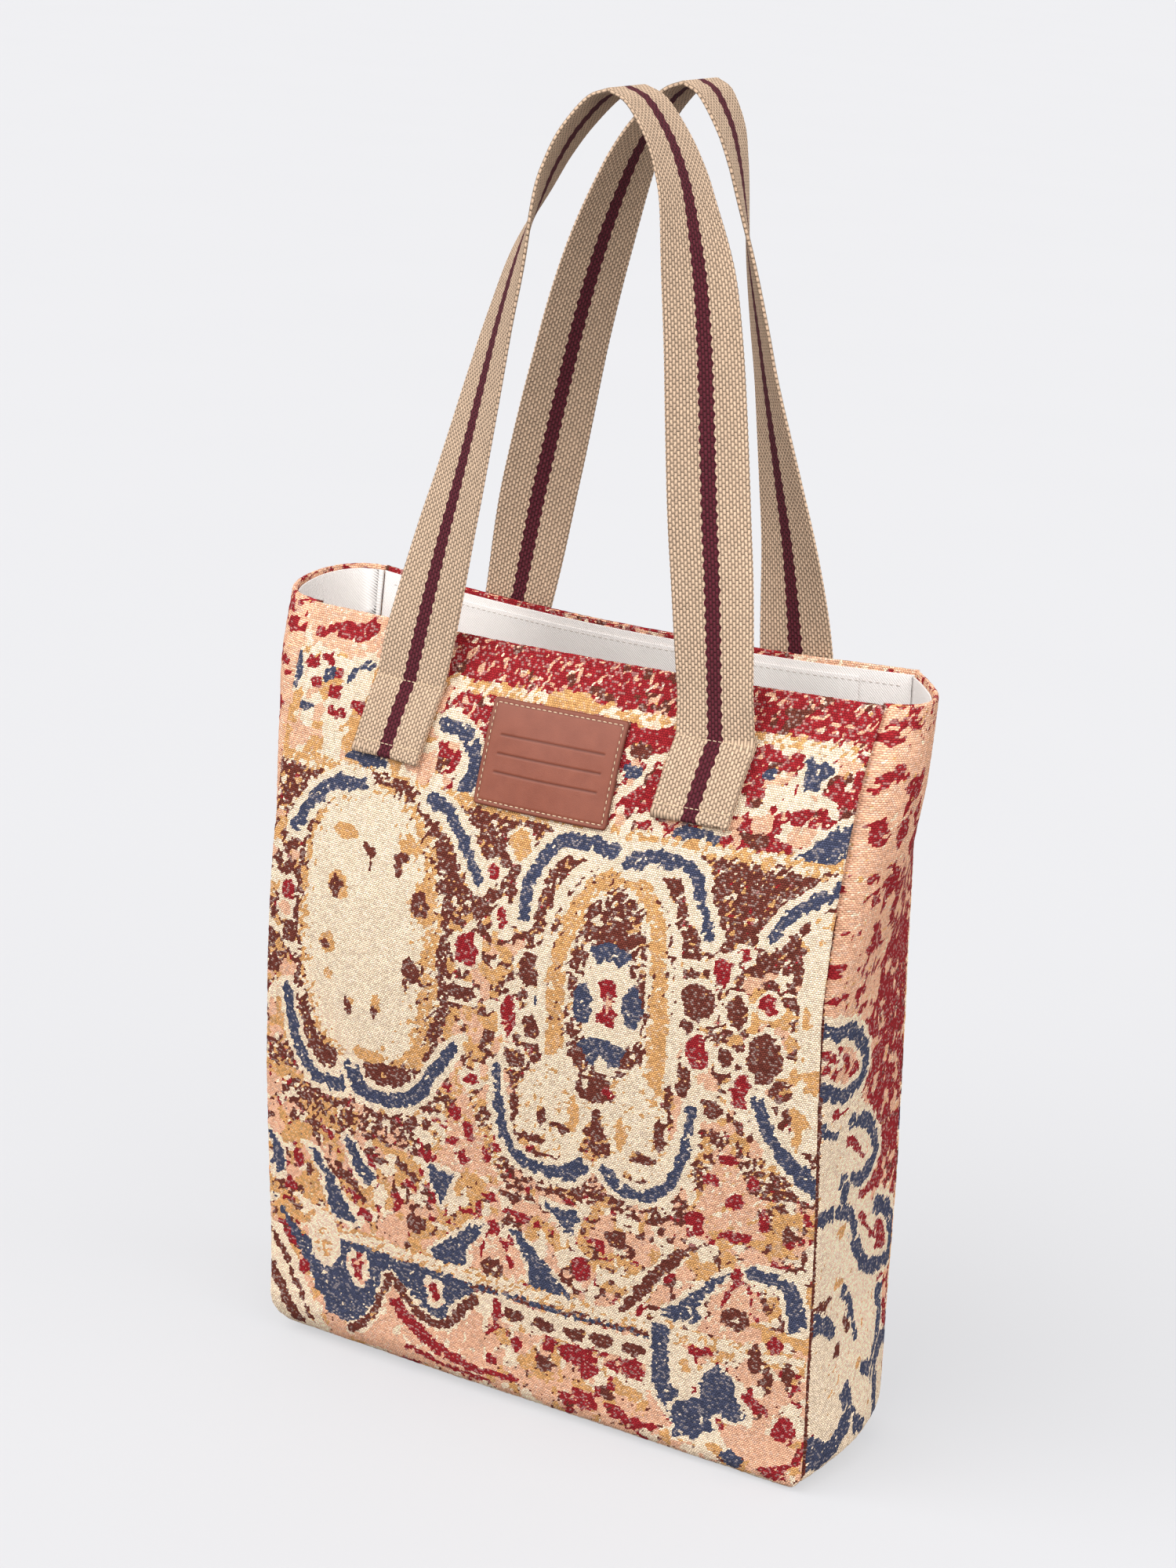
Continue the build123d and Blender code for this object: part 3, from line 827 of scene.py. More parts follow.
# Marks on the sides: colour, centre and half sizes
side_spots = (
    (CRIMSON, 23, 350, 7, 6), (CRIMSON, 32, 338, 3, 7), (CRIMSON, 7, 355, 5, 4), (CRIMSON, 3, 371, 4, 3),
    (CRIMSON, 8, 330, 3.5, 5), (CRIMSON, 21, 331, 4, 6), (CRIMSON, 26, 307, 5, 6),
    (CRIMSON, 10, 311, 2.5, 3), (CRIMSON, 13, 300, 2.2, 3), (CRIMSON, 22, 284, 3, 5),
    (CRIMSON, 50, 213, 5, 3), (CRIMSON, 45, 203, 6, 3), (CRIMSON, 18, 197, 9, 3),
    (CRIMSON, 66, 232, 9, 7), (CRIMSON, 58, 186, 8, 9), (CRIMSON, 50, 142, 8, 4),
    (CRIMSON, 72, 158, 6, 10), (BROWN, 10, 99, 9, 3), (BROWN, 38, 80, 6, 8), (BROWN, 24, 68, 4, 5),
    (OCHRE, 27, 131, 5, 3), (OCHRE, 26, 102, 5, 2.4), (OCHRE, 46, 50, 6, 2.4), (CRIMSON, 90, 62, 4, 9),
    (CRIMSON, 92, 22, 6, 9), (BROWN, 76, 64, 4, 7), (CRIMSON, 2, 26, 5, 8), (SALMON, 44, 122, 3, 6),
)


def paint_side(u, v):
    """Salmon above, cream with navy leaves below, red towards the back; the base carries on below zero."""
    cloth = Print(u, v, side_print_seed)
    cloth.ground(cloth.band(-900, 900), SALMON, stipples=((OCHRE, 0.05), (CREAM, 0.05)))
    blotch = noise(cloth.u, cloth.v, 5, blotch_seed)
    blotch = blotch + 0.8 * noise(cloth.u, cloth.v, 2.6, blotch_seed + 1)
    ramp = np.clip((cloth.u - 18) / 44, 0, 1) * np.clip((346 - cloth.v) / 30, 0.15, 1)
    sparse = 0.3 * np.clip((cloth.v - 300) / 40, 0, 1)
    cloth.fill(CRIMSON, (blotch > 0.48 + sparse - 0.85 * ramp) & (cloth.v > base_edge))
    rear = cloth.band(base_edge, 250) & (cloth.u > 52 + 0.3 * np.clip(200 - cloth.v, 0, None))
    cloth.fill(CRIMSON, rear & (blotch > -0.45))
    cloth.stipple(BROWN, rear, 0.12)
    cloth.stipple(CRIMSON, cloth.v > 372, 0.30)
    sash = (np.abs(cloth.v - 336 + 0.34 * cloth.u) < 8) & (cloth.u > 38)
    cloth.ground(sash, CRIMSON, stipples=((BROWN, 0.15),))
    pale = (cloth.u + 0.30 * cloth.v < 98) & (cloth.v < 203)
    cloth.ground(pale, CREAM, stipples=((OCHRE, 0.05),))
    cloth.ground(cloth.v < base_edge, CREAM, ((SALMON, 14, 0.3), (CRIMSON, 11, 0.2), (NAVY, 13, 0.2)))
    for spot in side_spots:
        cloth.oval(*spot)
    for width, points, heart in side_leaves:
        cloth.stroke(NAVY, width, points, width, 3)
        cloth.stroke(CRIMSON, 5, heart, 3, 2)
    for width, end_width, points in side_stems:
        cloth.stroke(NAVY, width, points, end_width, 1.5)
    # Painted shade: a thin brown line along the sides' front edge, where the seam's groove lies in shadow;
    # it narrows towards the rim.
    cloth.fill(BROWN, u < seam_shade * np.clip((330 - v) / 130, 0.1, 1))
    return cloth.shares()


# Materials


def rgb(red, green, blue):
    """A colour as a picture shows it, from 0 to 255, as linear light."""
    shares = np.array((red, green, blue)) / 255
    linear = np.where(shares <= 0.04045, shares / 12.92, ((shares + 0.055) / 1.055) ** 2.4)
    return (*linear.tolist(), 1.0)


class Nodes:
    """Short calls for a material's node tree."""

    def __init__(self, name):
        self.material = bpy.data.materials.new(name)
        self.material.use_nodes = True
        self.tree = self.material.node_tree
        self.shader = self.tree.nodes["Principled BSDF"]

    def node(self, kind, **settings):
        made = self.tree.nodes.new(kind)
        for key, value in settings.items():
            setattr(made, key, value)
        return made

    def put(self, socket, value):
        if isinstance(value, bpy.types.NodeSocket):
            self.tree.links.new(value, socket)
        else:
            socket.default_value = value

    def math(self, operation, first, second=0.0, third=0.0):
        made = self.node("ShaderNodeMath", operation=operation)
        for socket, value in zip(made.inputs, (first, second, third)):
            self.put(socket, value)
        return made.outputs[0]

    def times(self, first, second):
        return self.math("MULTIPLY", first, second)

    def plus(self, first, second):
        return self.math("ADD", first, second)

    def minus(self, first, second):
        return self.math("SUBTRACT", first, second)

    def line(self, value, slope, start):
        return self.math("MULTIPLY_ADD", value, slope, start)

    def mix(self, share, first, second):
        made = self.node("ShaderNodeMix", data_type="RGBA")
        self.put(made.inputs["Factor"], share)
        self.put(made.inputs["A"], first)
        self.put(made.inputs["B"], second)
        return made.outputs["Result"]

    def tint(self, colour, share):
        """A colour made darker or lighter by a number."""
        made = self.node("ShaderNodeVectorMath", operation="SCALE")
        self.put(made.inputs[0], colour if isinstance(colour, bpy.types.NodeSocket) else colour[:3])
        self.put(made.inputs["Scale"], share)
        return made.outputs[0]

    def attribute(self, name):
        made = self.node("ShaderNodeAttribute", attribute_name=name)
        return made.outputs["Vector"]

    def split(self, vector):
        made = self.node("ShaderNodeSeparateXYZ")
        self.put(made.inputs[0], vector)
        return made.outputs

    def join(self, x, y, z):
        made = self.node("ShaderNodeCombineXYZ")
        for socket, value in zip(made.inputs, (x, y, z)):
            self.put(socket, value)
        return made.outputs[0]

    def random(self, vector):
        """A value and a colour that are random for each whole-number place."""
        made = self.node("ShaderNodeTexWhiteNoise", noise_dimensions="3D")
        self.put(made.inputs["Vector"], vector)
        return made.outputs["Value"], made.outputs["Color"]

    def noise(self, vector, scale, detail=2.0):
        made = self.node("ShaderNodeTexNoise")
        self.put(made.inputs["Vector"], vector)
        made.inputs["Scale"].default_value = scale
        made.inputs["Detail"].default_value = detail
        return made.outputs["Fac"]

    def bump(self, height, distance, strength):
        made = self.node("ShaderNodeBump")
        made.inputs["Strength"].default_value = strength
        made.inputs["Distance"].default_value = distance
        self.put(made.inputs["Height"], height)
        self.put(self.shader.inputs["Normal"], made.outputs[0])

    def finish(self, colour, roughness, specular):
        self.put(self.shader.inputs["Base Color"], colour)
        self.put(self.shader.inputs["Roughness"], roughness)
        self.shader.inputs["Specular IOR Level"].default_value = specular
        return self.material


def woven_cell(nodes, run, across, float_length, line_width):
    """Number of the yarn float at a place, and where in it the place is, from -0.5 to 0.5."""
    line = nodes.math("DIVIDE", across, line_width / MM)
    line_number = nodes.math("FLOOR", line)
    odd = nodes.math("MODULO", nodes.math("ABSOLUTE", line_number), 2.0)
    place = nodes.plus(nodes.math("DIVIDE", run, float_length / MM), nodes.times(odd, 0.5))
    place_number = nodes.math("FLOOR", place)
    along = nodes.minus(nodes.minus(place, place_number), 0.5)
    up = nodes.minus(nodes.minus(line, line_number), 0.5)
    return place_number, line_number, along, up


def dome(nodes, along, up):
    """Height of a rounded yarn float, 1 at its middle and 0 at its edges."""
    def fall(place):
        twice = nodes.times(place, 2.0)
        return nodes.minus(1.0, nodes.times(twice, twice))

    return nodes.math("SQRT", nodes.math("MAXIMUM", nodes.times(fall(along), fall(up)), 0.0))


# Yarn colours, in the order of their numbers: cream, ochre, salmon, crimson, brown and navy
palette = (
    rgb(253, 227, 196), rgb(226, 168, 108), rgb(244, 186, 152),
    rgb(156, 38, 44), rgb(112, 56, 46), rgb(72, 76, 99),
)


def carpet_material():
    """Chunky weave in which each yarn float shows one of the print's colours."""
    nodes = Nodes("carpet_cloth")
    u, v, _ = nodes.split(nodes.attribute("cloth"))
    place, line, along, up = woven_cell(nodes, u, v, weave_column, weave_row)
    height = dome(nodes, along, up)
    value, first = nodes.random(nodes.join(place, line, 0.0))
    fleck, second = nodes.random(nodes.join(place, line, 7.0))
    chances = [*nodes.split(first), *nodes.split(second)]
    shares = [*nodes.split(nodes.attribute("print_pale")), *nodes.split(nodes.attribute("print_deep"))]
    best = None
    for colour, share, chance in zip(palette, shares, chances):
        score = nodes.line(chance, 0.45, share)
        if best is None:
            best, shown = score, colour
        else:
            wins = nodes.math("GREATER_THAN", score, best)
            shown = nodes.mix(wins, shown, colour)
            best = nodes.math("MAXIMUM", best, score)
    # Painted highlights: about a fifth of the yarn floats, picked at random, are mixed a quarter of the way
    # towards a pale tint, as glints on single yarns.
    light = nodes.math("GREATER_THAN", fleck, 0.78)
    shown = nodes.mix(nodes.times(light, 0.24), shown, rgb(236, 216, 204))
    shade = nodes.line(value, 0.46, 0.77)
    # Painted shade: each yarn float is darker towards its edges, where the gaps between the floats fall into
    # shade.
    gap_shade = nodes.line(height, 0.52, 0.80)
    shown = nodes.tint(shown, nodes.times(shade, gap_shade))
    fuzz = nodes.noise(nodes.attribute("cloth"), 3.0)
    nodes.bump(nodes.plus(height, nodes.times(fuzz, 0.5)), 0.8 * MM, 0.9)
    return nodes.finish(shown, 0.92, 0.12)


def twill_material():
    """Off-white cotton twill with fine slanting ribs."""
    nodes = Nodes("lining_twill")
    u, v, _ = nodes.split(nodes.attribute("cloth"))
    slant = nodes.plus(nodes.times(u, 1.1), v)
    rib = nodes.math("SINE", nodes.times(slant, math.tau / 1.4))
    rib = nodes.line(rib, 0.5, 0.5)
    blotch = nodes.noise(nodes.attribute("cloth"), 0.05)
    yarn = nodes.noise(nodes.attribute("cloth"), 1.6)
    # Painted shade: the colour is darker along the grooves between the slanting ribs; the blotch and yarn
    # noise give uneven tone.
    shade = nodes.line(rib, 0.14, 0.88)
    shade = nodes.plus(shade, nodes.line(blotch, 0.05, -0.025))
    shade = nodes.plus(shade, nodes.line(yarn, 0.08, -0.04))
    colour = nodes.tint(rgb(240, 234, 230), shade)
    nodes.bump(nodes.plus(rib, nodes.times(yarn, 0.6)), 0.18 * MM, 0.8)
    return nodes.finish(colour, 1.0, 0.05)


def webbing_material():
    """Tan ribbed webbing with a dark red stripe along its middle."""
    nodes = Nodes("webbing")
    u, v, _ = nodes.split(nodes.attribute("cloth"))
    place, rib, along, across = woven_cell(nodes, v, u, float_pitch, rib_pitch)
    height = dome(nodes, across, along)
    value, _ = nodes.random(nodes.join(rib, place, 3.0))
    wave = nodes.math("COSINE", nodes.times(v, math.pi / (float_pitch / MM)))
    border = nodes.line(wave, 0.5, 3.4)
    striped = nodes.math("LESS_THAN", nodes.math("ABSOLUTE", u), border)
    colour = nodes.mix(striped, rgb(222, 190, 161), rgb(98, 34, 46))
    shade = nodes.line(value, 0.16, 0.90)
    # Painted shade: the floats of the ribs are much darker at their edges, where the gaps between them fall
    # into shade.
    gap_shade = nodes.line(height, 0.80, 0.34)
    colour = nodes.tint(colour, nodes.times(shade, gap_shade))
    fibre = nodes.noise(nodes.attribute("cloth"), 4.0)
    nodes.bump(nodes.plus(height, nodes.times(fibre, 0.25)), 0.9 * MM, 1.0)
    return nodes.finish(colour, 0.78, 0.25)


def leather_material():
    """Brown smooth leather, darker towards its cut edge and in its pressed lines."""
    nodes = Nodes("patch_leather")
    u, v, pressed = nodes.split(nodes.attribute("cloth"))
    flat = nodes.join(u, v, 0.0)
    mottle = nodes.noise(flat, 0.12, 4.0)
    pores = nodes.noise(flat, 2.6, 3.0)
    colour = nodes.mix(mottle, rgb(120, 60, 42), rgb(144, 80, 59))
    colour = nodes.mix(pressed, colour, rgb(92, 46, 34))
    shade = nodes.line(pores, 0.24, 0.88)
    colour = nodes.tint(colour, shade)
    roughness = nodes.line(pores, 0.2, 0.36)
    nodes.bump(nodes.plus(pores, nodes.times(mottle, 1.5)), 0.12 * MM, 0.7)
    return nodes.finish(colour, roughness, 0.35)


def thread_material(name, pale, deep):
    """Twisted thread."""
    nodes = Nodes(name)
    u, v, _ = nodes.split(nodes.attribute("cloth"))
    turn = nodes.plus(nodes.times(u, 9.0), nodes.times(v, 3.0))
    twist = nodes.math("SINE", turn)
    twist = nodes.line(twist, 0.5, 0.5)
    nodes.bump(twist, 0.06 * MM, 0.6)
    # Painted shade: the deep colour lies in the valleys between the turns of the twist.
    return nodes.finish(nodes.mix(twist, deep, pale), 0.7, 0.5)


def floor_material():
    """Pale studio floor that keeps its shadow."""
    nodes = Nodes("studio_floor")
    grain = nodes.noise(nodes.node("ShaderNodeTexCoord").outputs["Object"], 3.0)
    colour = nodes.mix(grain, rgb(130, 130, 132), rgb(132, 132, 134))
    seen = nodes.node("ShaderNodeLightPath").outputs["Is Camera Ray"]
    nodes.shader.inputs["Emission Color"].default_value = rgb(239, 239, 241)
    nodes.put(nodes.shader.inputs["Emission Strength"], nodes.times(seen, floor_glow))
    return nodes.finish(colour, 1.0, 0.0)


# Straps


def foot_x(drop, side, outward):
    """X of a strap's centre line where it is sewn down; the front feet lean to the left."""
    share = (drop - strap_stitch_drop) / (strap_foot_drop - strap_stitch_drop)
    lean = 0 if outward > 0 else front_left_lean if side < 0 else front_right_lean
    return side * handle_spread * (foot_spread_share + (1 - foot_spread_share) * share) + lean * share


def strap_leg(face, side, outward, apex_y, reach_power, sway, spread_shares, twist_shares):
    """Centre and width direction along one leg, from its folded end up to the top."""
    half = webbing_width / 2

    def sewn(layer_share, first_drop, last_drop):
        drop = np.linspace(first_drop, last_drop, sewn_steps)
        z = body_height - drop
        x = foot_x(drop, side, outward)
        y = face(x, z) + outward * (seam_gap + webbing_thickness * layer_share)
        lean = face(x + half, z) - face(x - half, z)
        across = np.stack([np.full_like(x, webbing_width), lean, np.zeros_like(x)], -1)
        return np.stack([x, y, z], -1), unit(across)

    tail, tail_across = sewn(tail_layer_share, strap_stitch_drop - tail_rise, strap_foot_drop)
    outer, outer_across = sewn(strap_layer_share, strap_foot_drop, strap_stitch_drop)
    turn = np.linspace(0, math.pi, fold_steps)[1:-1, None]
    middle = (tail[-1] + outer[0]) / 2
    reach = outer[0] - middle
    fold = middle - reach * np.cos(turn) - np.array((0, 0, np.linalg.norm(reach))) * np.sin(turn)
    fold_across = np.repeat(outer_across[:1], len(fold), axis=0)
    level = np.linspace(0, 1, leg_steps)[1:]
    marks = np.linspace(0, 1, len(leg_height_shares))
    height = smooth(marks, leg_height_shares, level)
    angle = math.pi / 2 * smooth(marks, twist_shares, level)
    start = outer[-1]
    x = side * handle_spread * smooth(marks, spread_shares, level)
    x = x + sway * sway_share * height**2 * (1 - height)
    y = start[1] + (apex_y - start[1]) * height**reach_power
    z = start[2] + (body_height + handle_rise - start[2]) * height
    leg = np.stack([x, y, z], -1)
    leg_across = np.stack([np.cos(angle), -side * outward * np.sin(angle), np.zeros_like(angle)], -1)
    blend = np.linspace(0, 1, blend_steps)[:, None]
    leg_across[:blend_steps] = outer_across[-1] + (leg_across[:blend_steps] - outer_across[-1]) * blend
    centre = np.concatenate([tail, fold, outer, leg])
    return centre, np.concatenate([tail_across, fold_across, outer_across, leg_across])


def strap_piece(name, node, face, outward, *route):
    """Webbing ribbon with wavy selvedges, evenly divided along its run from foot to foot."""
    right, right_across = strap_leg(face, 1, outward, *route)
    left, left_across = strap_leg(face, -1, outward, *route)
    flip = np.where((left_across[-1] @ right_across[-1]) < 0, -1, 1)
    centre = np.concatenate([right, left[-2::-1]])
    across = np.concatenate([right_across, flip * left_across[-2::-1]])
    run = np.concatenate([[0], np.cumsum(np.linalg.norm(np.diff(centre, axis=0), axis=1))])
    vs = steps(run[-1], strap_pitch, webbing_thickness / 2)
    centre = np.stack([np.interp(vs, run, centre[:, i]) for i in range(3)], -1)
    across = np.stack([np.interp(vs, run, across[:, i]) for i in range(3)], -1)
    along = unit(np.gradient(centre, vs, axis=0))
    across = unit(across - along * (across * along).sum(-1, keepdims=True))
    us = steps(webbing_width, 2 * rib_pitch, webbing_thickness / 2) - webbing_width / 2
    scallop = 1 + selvedge_scallop / webbing_width * np.sin(vs * math.tau / float_pitch)
    width = us[None, :] * scallop[:, None]
    normal = np.cross(across, along)
    normal *= np.sign(normal[len(vs) // 4, 1]) * outward
    middle = centre[:, None, :] + across[:, None, :] * width[..., None]
    normals = np.repeat(normal[:, None, :], len(us), axis=1)
    u, v = np.meshgrid(us, vs)
    edge = np.minimum(webbing_width / 2 - np.abs(u), np.minimum(v, run[-1] - v))
    points, faces, source = closed_sheet(middle, normals, edge, webbing_thickness)
    vectors = {"cloth": cloth_places(u, v, np.zeros_like(u), source)}
    piece = make_piece(name, points, faces, vectors, webbing)
    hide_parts(node)


# Stitches


def stitch_piece(name, slot, rows, length, radius, material):
    """Sewn thread: rows of (middle, along, outward) places, each a short bowed length."""
    sides = 6
    shares = np.linspace(-1, 1, 5)
    rings = np.linspace(0, math.tau, sides, endpoint=False)
    points, faces, cloth = [], [], []
    for middle, along, outward in rows:
        along = unit(along)
        outward = unit(outward - along * (outward @ along))
        across = np.cross(along, outward)
        first = len(points)
        for share in shares:
            centre = middle + along * share * length / 2 + outward * radius * (0.6 - 1.2 * share**4)
            reach = radius * (1 - 0.55 * share**4)
            for ring in rings:
                points.append(centre + reach * (across * math.cos(ring) + outward * math.sin(ring)))
                cloth.append((share * length / 2 / MM, ring, 0))
        for i in range(len(shares) - 1):
            for j in range(sides):
                a = first + i * sides + j
                b = first + i * sides + (j + 1) % sides
                faces.append((a, b, b + sides, a + sides))
    piece = make_piece(name, points, faces, {"cloth": np.array(cloth)}, material)


def outward_at(face, sign, x, z):
    """Outward normal of a panel's outside."""
    step = 1 * MM
    slope_x = (face(x + step, z) - face(x - step, z)) / (2 * step)
    slope_z = (face(x, z + step) - face(x, z - step)) / (2 * step)
    return unit(sign * np.array((-slope_x, 1, -slope_z)))


# Build

carpet = carpet_material()
twill = twill_material()
webbing = webbing_material()
leather = leather_material()
cream_thread = thread_material("cream_thread", rgb(244, 222, 190), rgb(206, 176, 140))
lining_thread = thread_material("lining_thread", rgb(214, 204, 196), rgb(176, 164, 156))

carpet_kind = (carpet, "carpet_cloth", cloth_thickness)
twill_kind = (twill, "lining_twill", lining_thickness)


def add_sheet(name, node, kind, grid, inset, paint, **soft):
    """A soft sheet that stands for one solid: its piece; its slot and its flat size are not used."""
    material, slot, thickness = kind
    *surface, edge = grid
    piece = sheet_piece(name, *surface, inset, thickness, edge, paint, material)
    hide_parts(node)


front_side = (front_face, front_move, -1)
back_side = (back_face, back_move, 1)
front_corners = (left_corner_radius, ear_corner_radius)
back_corners = (base_corner_radius, rear_corner_radius)
grid = panel_grid(*front_side, 0, 0, body_height, front_corners, panel_pitch, cloth_thickness)
add_sheet(
    "carpet_front", "front_panel", carpet_kind, grid, 0, paint_front,
    flat=(0.29, 0.395), held="hung", rests_on=["gusset"],
)
grid = panel_grid(*back_side, 0, 0, body_height, back_corners, back_pitch, cloth_thickness)
add_sheet(
    "carpet_back", "back_panel", carpet_kind, grid, 0, paint_back,
    flat=(0.29, 0.385), held="hung", rests_on=["gusset"],
)
grid = gusset_grid(body_height, gusset_pitch, cloth_thickness)
add_sheet(
    "carpet_gusset", "gusset", carpet_kind, grid, 0, paint_side,
    flat=(0.096, 1.03), held="folded", rests_on=["front_panel", "back_panel"],
)

lining_inset = cloth_thickness + seam_gap
lining_back_depth = lining_inset + lining_thickness
lining_head = body_height - lining_drop
lining_clearance = lining_back_depth + seam_gap
lining_corners = (base_corner_radius - lining_clearance, base_corner_radius - lining_clearance)
for name, node, panel_side, side_inset in (
    ("twill_front", "front_lining", front_side, lining_clearance),
    ("twill_back", "back_lining", back_side, back_lining_side_inset),
):
    span = (side_inset, lining_clearance, lining_head)
    grid = panel_grid(*panel_side, *span, lining_corners, lining_pitch, lining_thickness)
    add_sheet(
        name, node, twill_kind, grid, lining_inset, None,
        flat=(0.282, 0.385), held="hung", rests_on=["front_panel", "back_panel"],
    )
grid = gusset_grid(lining_head, lining_pitch, lining_thickness)
add_sheet(
    "twill_gusset", "gusset_lining", twill_kind, grid, lining_inset, None,
    flat=(0.095, 1.02), held="folded", rests_on=["gusset"],
)
pocket_span = ((body_width - pocket_width) / 2, pocket_low[2], pocket_high[2])
pocket_corners = (pocket_corner_radius, pocket_corner_radius)
grid = panel_grid(*back_side, *pocket_span, pocket_corners, lining_pitch, lining_thickness)
add_sheet(
    "pocket", "inner_pocket", twill_kind, grid, lining_clearance, None,
    flat=(0.236, 0.172), held="hung", rests_on=["back_lining"],
)

front_route = (front_apex_y, front_reach_power, front_sway, front_spread_shares, front_twist_shares)
back_route = (back_apex_y, back_reach_power, back_sway, back_spread_shares, back_twist_shares)
strap_piece("strap_front", "front_handle", front_face, -1, *front_route)
strap_piece("strap_back", "back_handle", back_face, 1, *back_route)

# Rows of thread across the sewn feet
rows = []
for face, outward in ((front_face, -1), (back_face, 1)):
    for drop in (strap_stitch_drop, strap_foot_drop - foot_stitch_rise):
        z = body_height - drop
        lift = seam_gap + webbing_thickness * (strap_layer_share + 0.5)
        for side in (-1, 1):
            middle_x = foot_x(drop, side, outward)
            half = webbing_width / 2
            for offset in np.arange(-strap_stitch_reach, strap_stitch_reach, strap_stitch_pitch):
                x = middle_x + offset
                y = face(middle_x, z) + outward * lift
                y += offset * (face(middle_x + half, z) - face(middle_x - half, z)) / webbing_width
                rows.append((np.array((x, y, z)), np.array((1.0, 0, 0)), outward_at(face, outward, x, z)))
strap_thread_size = (strap_stitch_length, strap_thread_radius)
stitch_piece("strap_stitches", "webbing", rows, *strap_thread_size, cream_thread)

# Topstitching of the lining and the pocket
rows = []
stitch_z = body_height - lining_stitch_drop
stitch_end = lining_stitch_reach + lining_stitch_pitch / 2
for local in np.arange(-lining_stitch_reach, stitch_end, lining_stitch_pitch):
    over_pocket = (lining_thickness + seam_gap) * (abs(local) < pocket_width / 2)
    for (face, move, outward), over in ((front_side, 0), (back_side, over_pocket)):
        x = local + move(stitch_z)
        normal = outward_at(face, outward, x, stitch_z)
        place = np.array((x, face(x, stitch_z), stitch_z)) - normal * (lining_back_depth + over)
        rows.append((place, np.array((1.0, 0, 0)), -normal))
lining_thread_size = (lining_stitch_length, lining_thread_radius)
stitch_piece("lining_stitches", "lining_twill", rows, *lining_thread_size, lining_thread)


def patch_piece():
    """Bent leather slab with pressed rules, a stitch channel and a rounded, darkened edge."""
    us = steps(patch_width, patch_pitch, patch_thickness / 2) - patch_width / 2
    vs = steps(patch_height, patch_pitch, patch_thickness / 2) - patch_height / 2
    u, v = np.meshgrid(us, vs)
    half_u = patch_width / 2 - patch_corner_radius
    half_v = patch_height / 2 - patch_corner_radius
    over_u = np.clip(np.abs(u) - half_u, 0, None)
    over_v = np.clip(np.abs(v) - half_v, 0, None)
    away = np.maximum(np.hypot(over_u, over_v), tiny)
    pull = np.maximum(np.maximum(over_u, over_v), tiny) / away
    x = np.sign(u) * (np.minimum(np.abs(u), half_u) + over_u * pull)
    w = np.sign(v) * (np.minimum(np.abs(v), half_v) + over_v * pull)
    z = body_height - patch_drop + w
    surface = np.stack([x + patch_shift, front_face(x + patch_shift, z), z], -1)
    normal = grid_normals(surface)
    edge = np.minimum(patch_width / 2 - np.abs(u), patch_height / 2 - np.abs(v))
    pressed = np.zeros_like(u)
    for row in (-1, 0, 1):
        gap = np.hypot(np.clip(np.abs(x) - rule_length / 2, 0, None), w - row * rule_spacing)
        pressed = np.maximum(pressed, np.clip(1.4 - gap / (rule_width / 2), 0, 1))
    channel = np.exp(-(((edge - patch_stitch_inset) / channel_width) ** 2))
    relief = -rule_depth * pressed - channel_depth * channel
    middle = surface + normal * (seam_gap + patch_thickness / 2)
    points, faces, source = closed_sheet(middle, normal, edge, patch_thickness)
    top = np.zeros(len(points))
    top[: u.size] = relief.ravel()
    points = points + normal.reshape(-1, 3)[source] * top[:, None]
    burnish = np.clip(1 - edge / burnish_width, 0, 1)
    dark = np.clip(0.8 * pressed + 0.45 * channel + 0.75 * burnish, 0, 1)
    vectors = {"cloth": cloth_places(u, v, dark, source)}
    piece = make_piece("patch", points, faces, vectors, leather)
    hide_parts("leather_patch")


patch_piece()
rows = []
reach_u = patch_width / 2 - patch_stitch_inset
reach_v = patch_height / 2 - patch_stitch_inset
for length, fixed, upright in ((reach_u, reach_v, False), (reach_v, reach_u, True)):
    count = int(round(2 * length / patch_stitch_pitch))
    for place in (np.arange(count) + 0.5) / count * 2 * length - length:
        for side in (-1, 1):
            x, w = (side * fixed, place) if upright else (place, side * fixed)
            x += patch_shift
            z = body_height - patch_drop + w
            normal = outward_at(front_face, -1, x, z)
            lift = seam_gap + patch_thickness - patch_stitch_sink
            centre = np.array((x, front_face(x, z), z)) + normal * lift
            along = np.array((0, 0, 1.0)) if upright else np.array((1.0, 0, 0))
            rows.append((centre, along, normal))
patch_thread_size = (patch_stitch_length, patch_thread_radius)
stitch_piece("patch_stitches", "patch_leather", rows, *patch_thread_size, cream_thread)

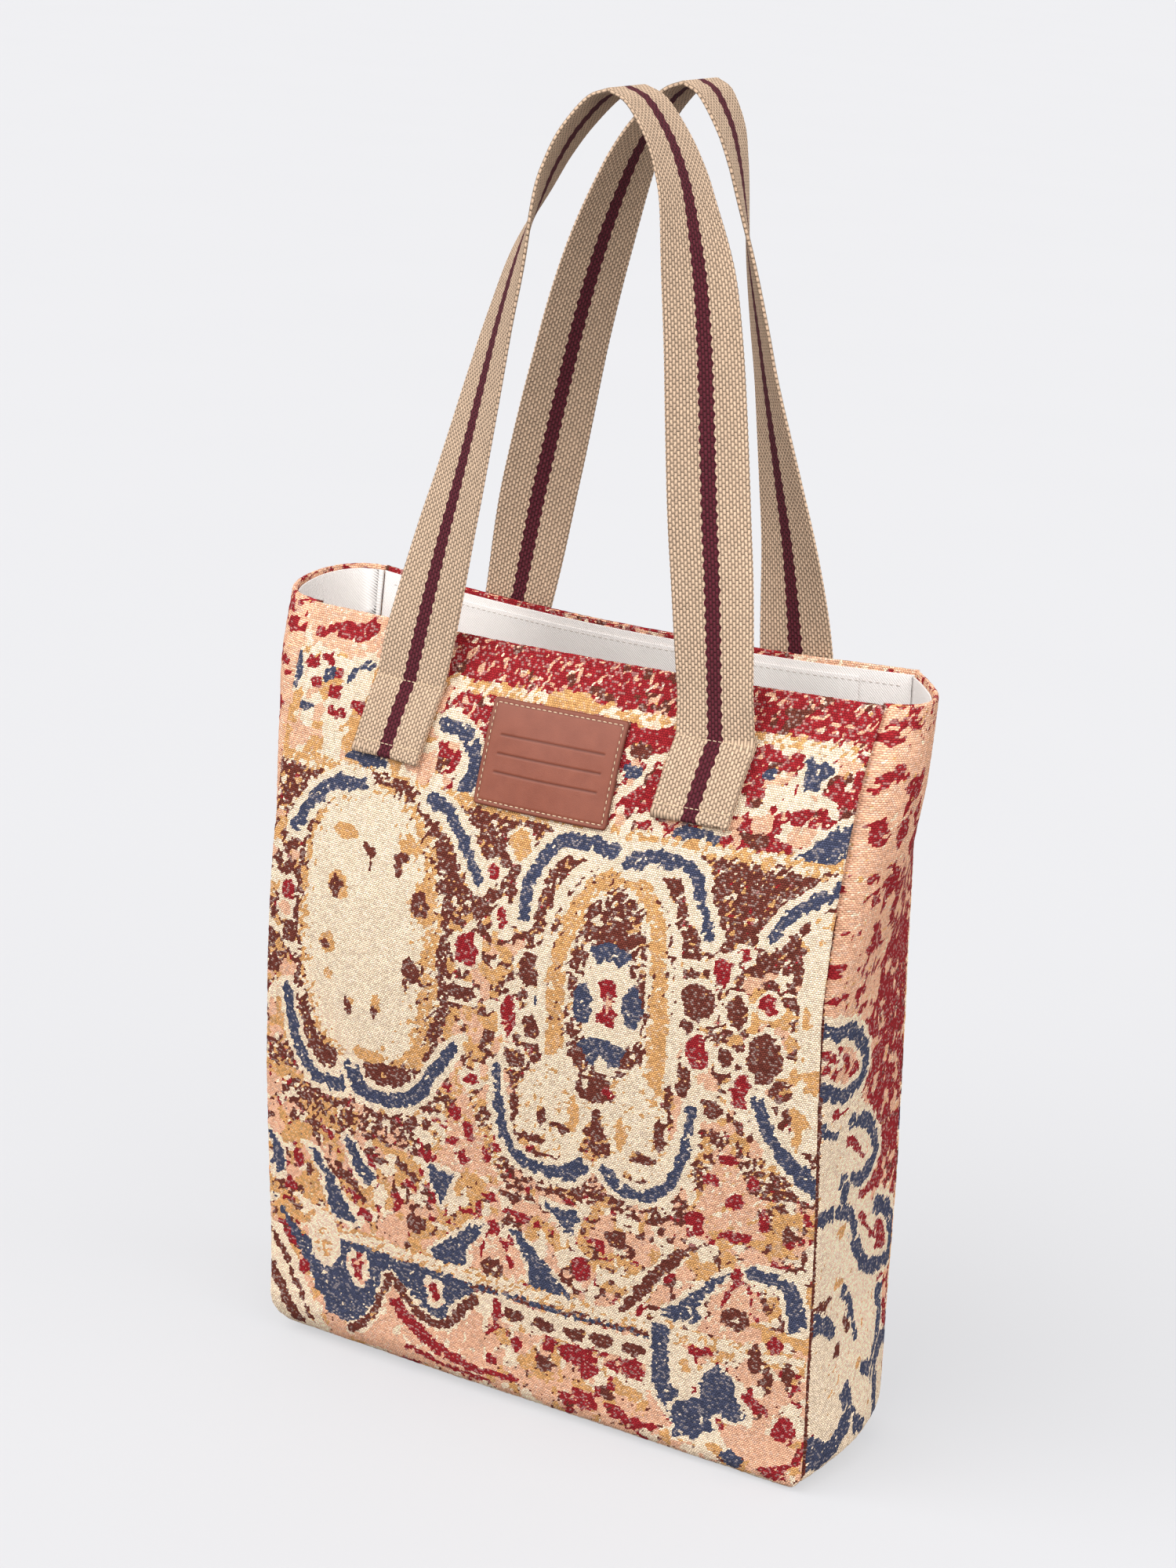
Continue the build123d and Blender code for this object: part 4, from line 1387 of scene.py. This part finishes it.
# Floor, light and camera
floor_mesh = bpy.data.meshes.new("floor")
corners = [(x * floor_reach, y * floor_reach, 0) for x, y in ((-1, -1), (1, -1), (1, 1), (-1, 1))]
floor_mesh.from_pydata(corners, [], [(0, 1, 2, 3)])
floor = bpy.data.objects.new("floor", floor_mesh)
bpy.context.scene.collection.objects.link(floor)
floor_mesh.materials.append(floor_material())

world = bpy.data.worlds.new("studio")
bpy.context.scene.world = world
world.use_nodes = True
tree = world.node_tree
background = tree.nodes["Background"]
light_path = tree.nodes.new("ShaderNodeLightPath")
seen = tree.nodes.new("ShaderNodeMath")
seen.operation = "MULTIPLY_ADD"
tree.links.new(light_path.outputs["Is Camera Ray"], seen.inputs[0])
seen.inputs[1].default_value = backdrop_strength - world_strength
seen.inputs[2].default_value = world_strength
tree.links.new(seen.outputs[0], background.inputs["Strength"])
background.inputs["Color"].default_value = (1.0, 1.0, 1.0, 1.0)

for name, towards, strength, angle in (
    ("key", Vector((0.45, 0.75, -0.80)), key_strength, 60),
    ("fill", Vector((-0.8, 0.35, -0.5)), fill_strength, 80),
):
    lamp = bpy.data.lights.new(name, "SUN")
    lamp.energy = strength
    lamp.angle = math.radians(angle)
    holder = bpy.data.objects.new(name, lamp)
    holder.rotation_euler = towards.to_track_quat("-Z", "Y").to_euler()
    bpy.context.scene.collection.objects.link(holder)

azimuth = math.radians(camera_azimuth)
elevation = math.radians(camera_elevation)
roll = math.radians(camera_roll)
back = Vector((
    math.sin(azimuth) * math.cos(elevation), -math.cos(azimuth) * math.cos(elevation), math.sin(elevation)
))
level_right = Vector((math.cos(azimuth), math.sin(azimuth), 0))
level_up = back.cross(level_right)
right = math.cos(roll) * level_right + math.sin(roll) * level_up
up = math.cos(roll) * level_up - math.sin(roll) * level_right
camera_data = bpy.data.cameras.new("camera")
camera_data.sensor_width = sensor_mm
camera_data.lens = sensor_mm * focal_pixels / image_height_pixels
camera = bpy.data.objects.new("camera", camera_data)
place = camera_target + camera_distance * back
camera.matrix_world = Matrix((
    (right.x, up.x, back.x, place.x),
    (right.y, up.y, back.y, place.y),
    (right.z, up.z, back.z, place.z),
    (0, 0, 0, 1),
))
bpy.context.scene.collection.objects.link(camera)
bpy.context.scene.camera = camera
bpy.context.scene.view_settings.view_transform = "Standard"
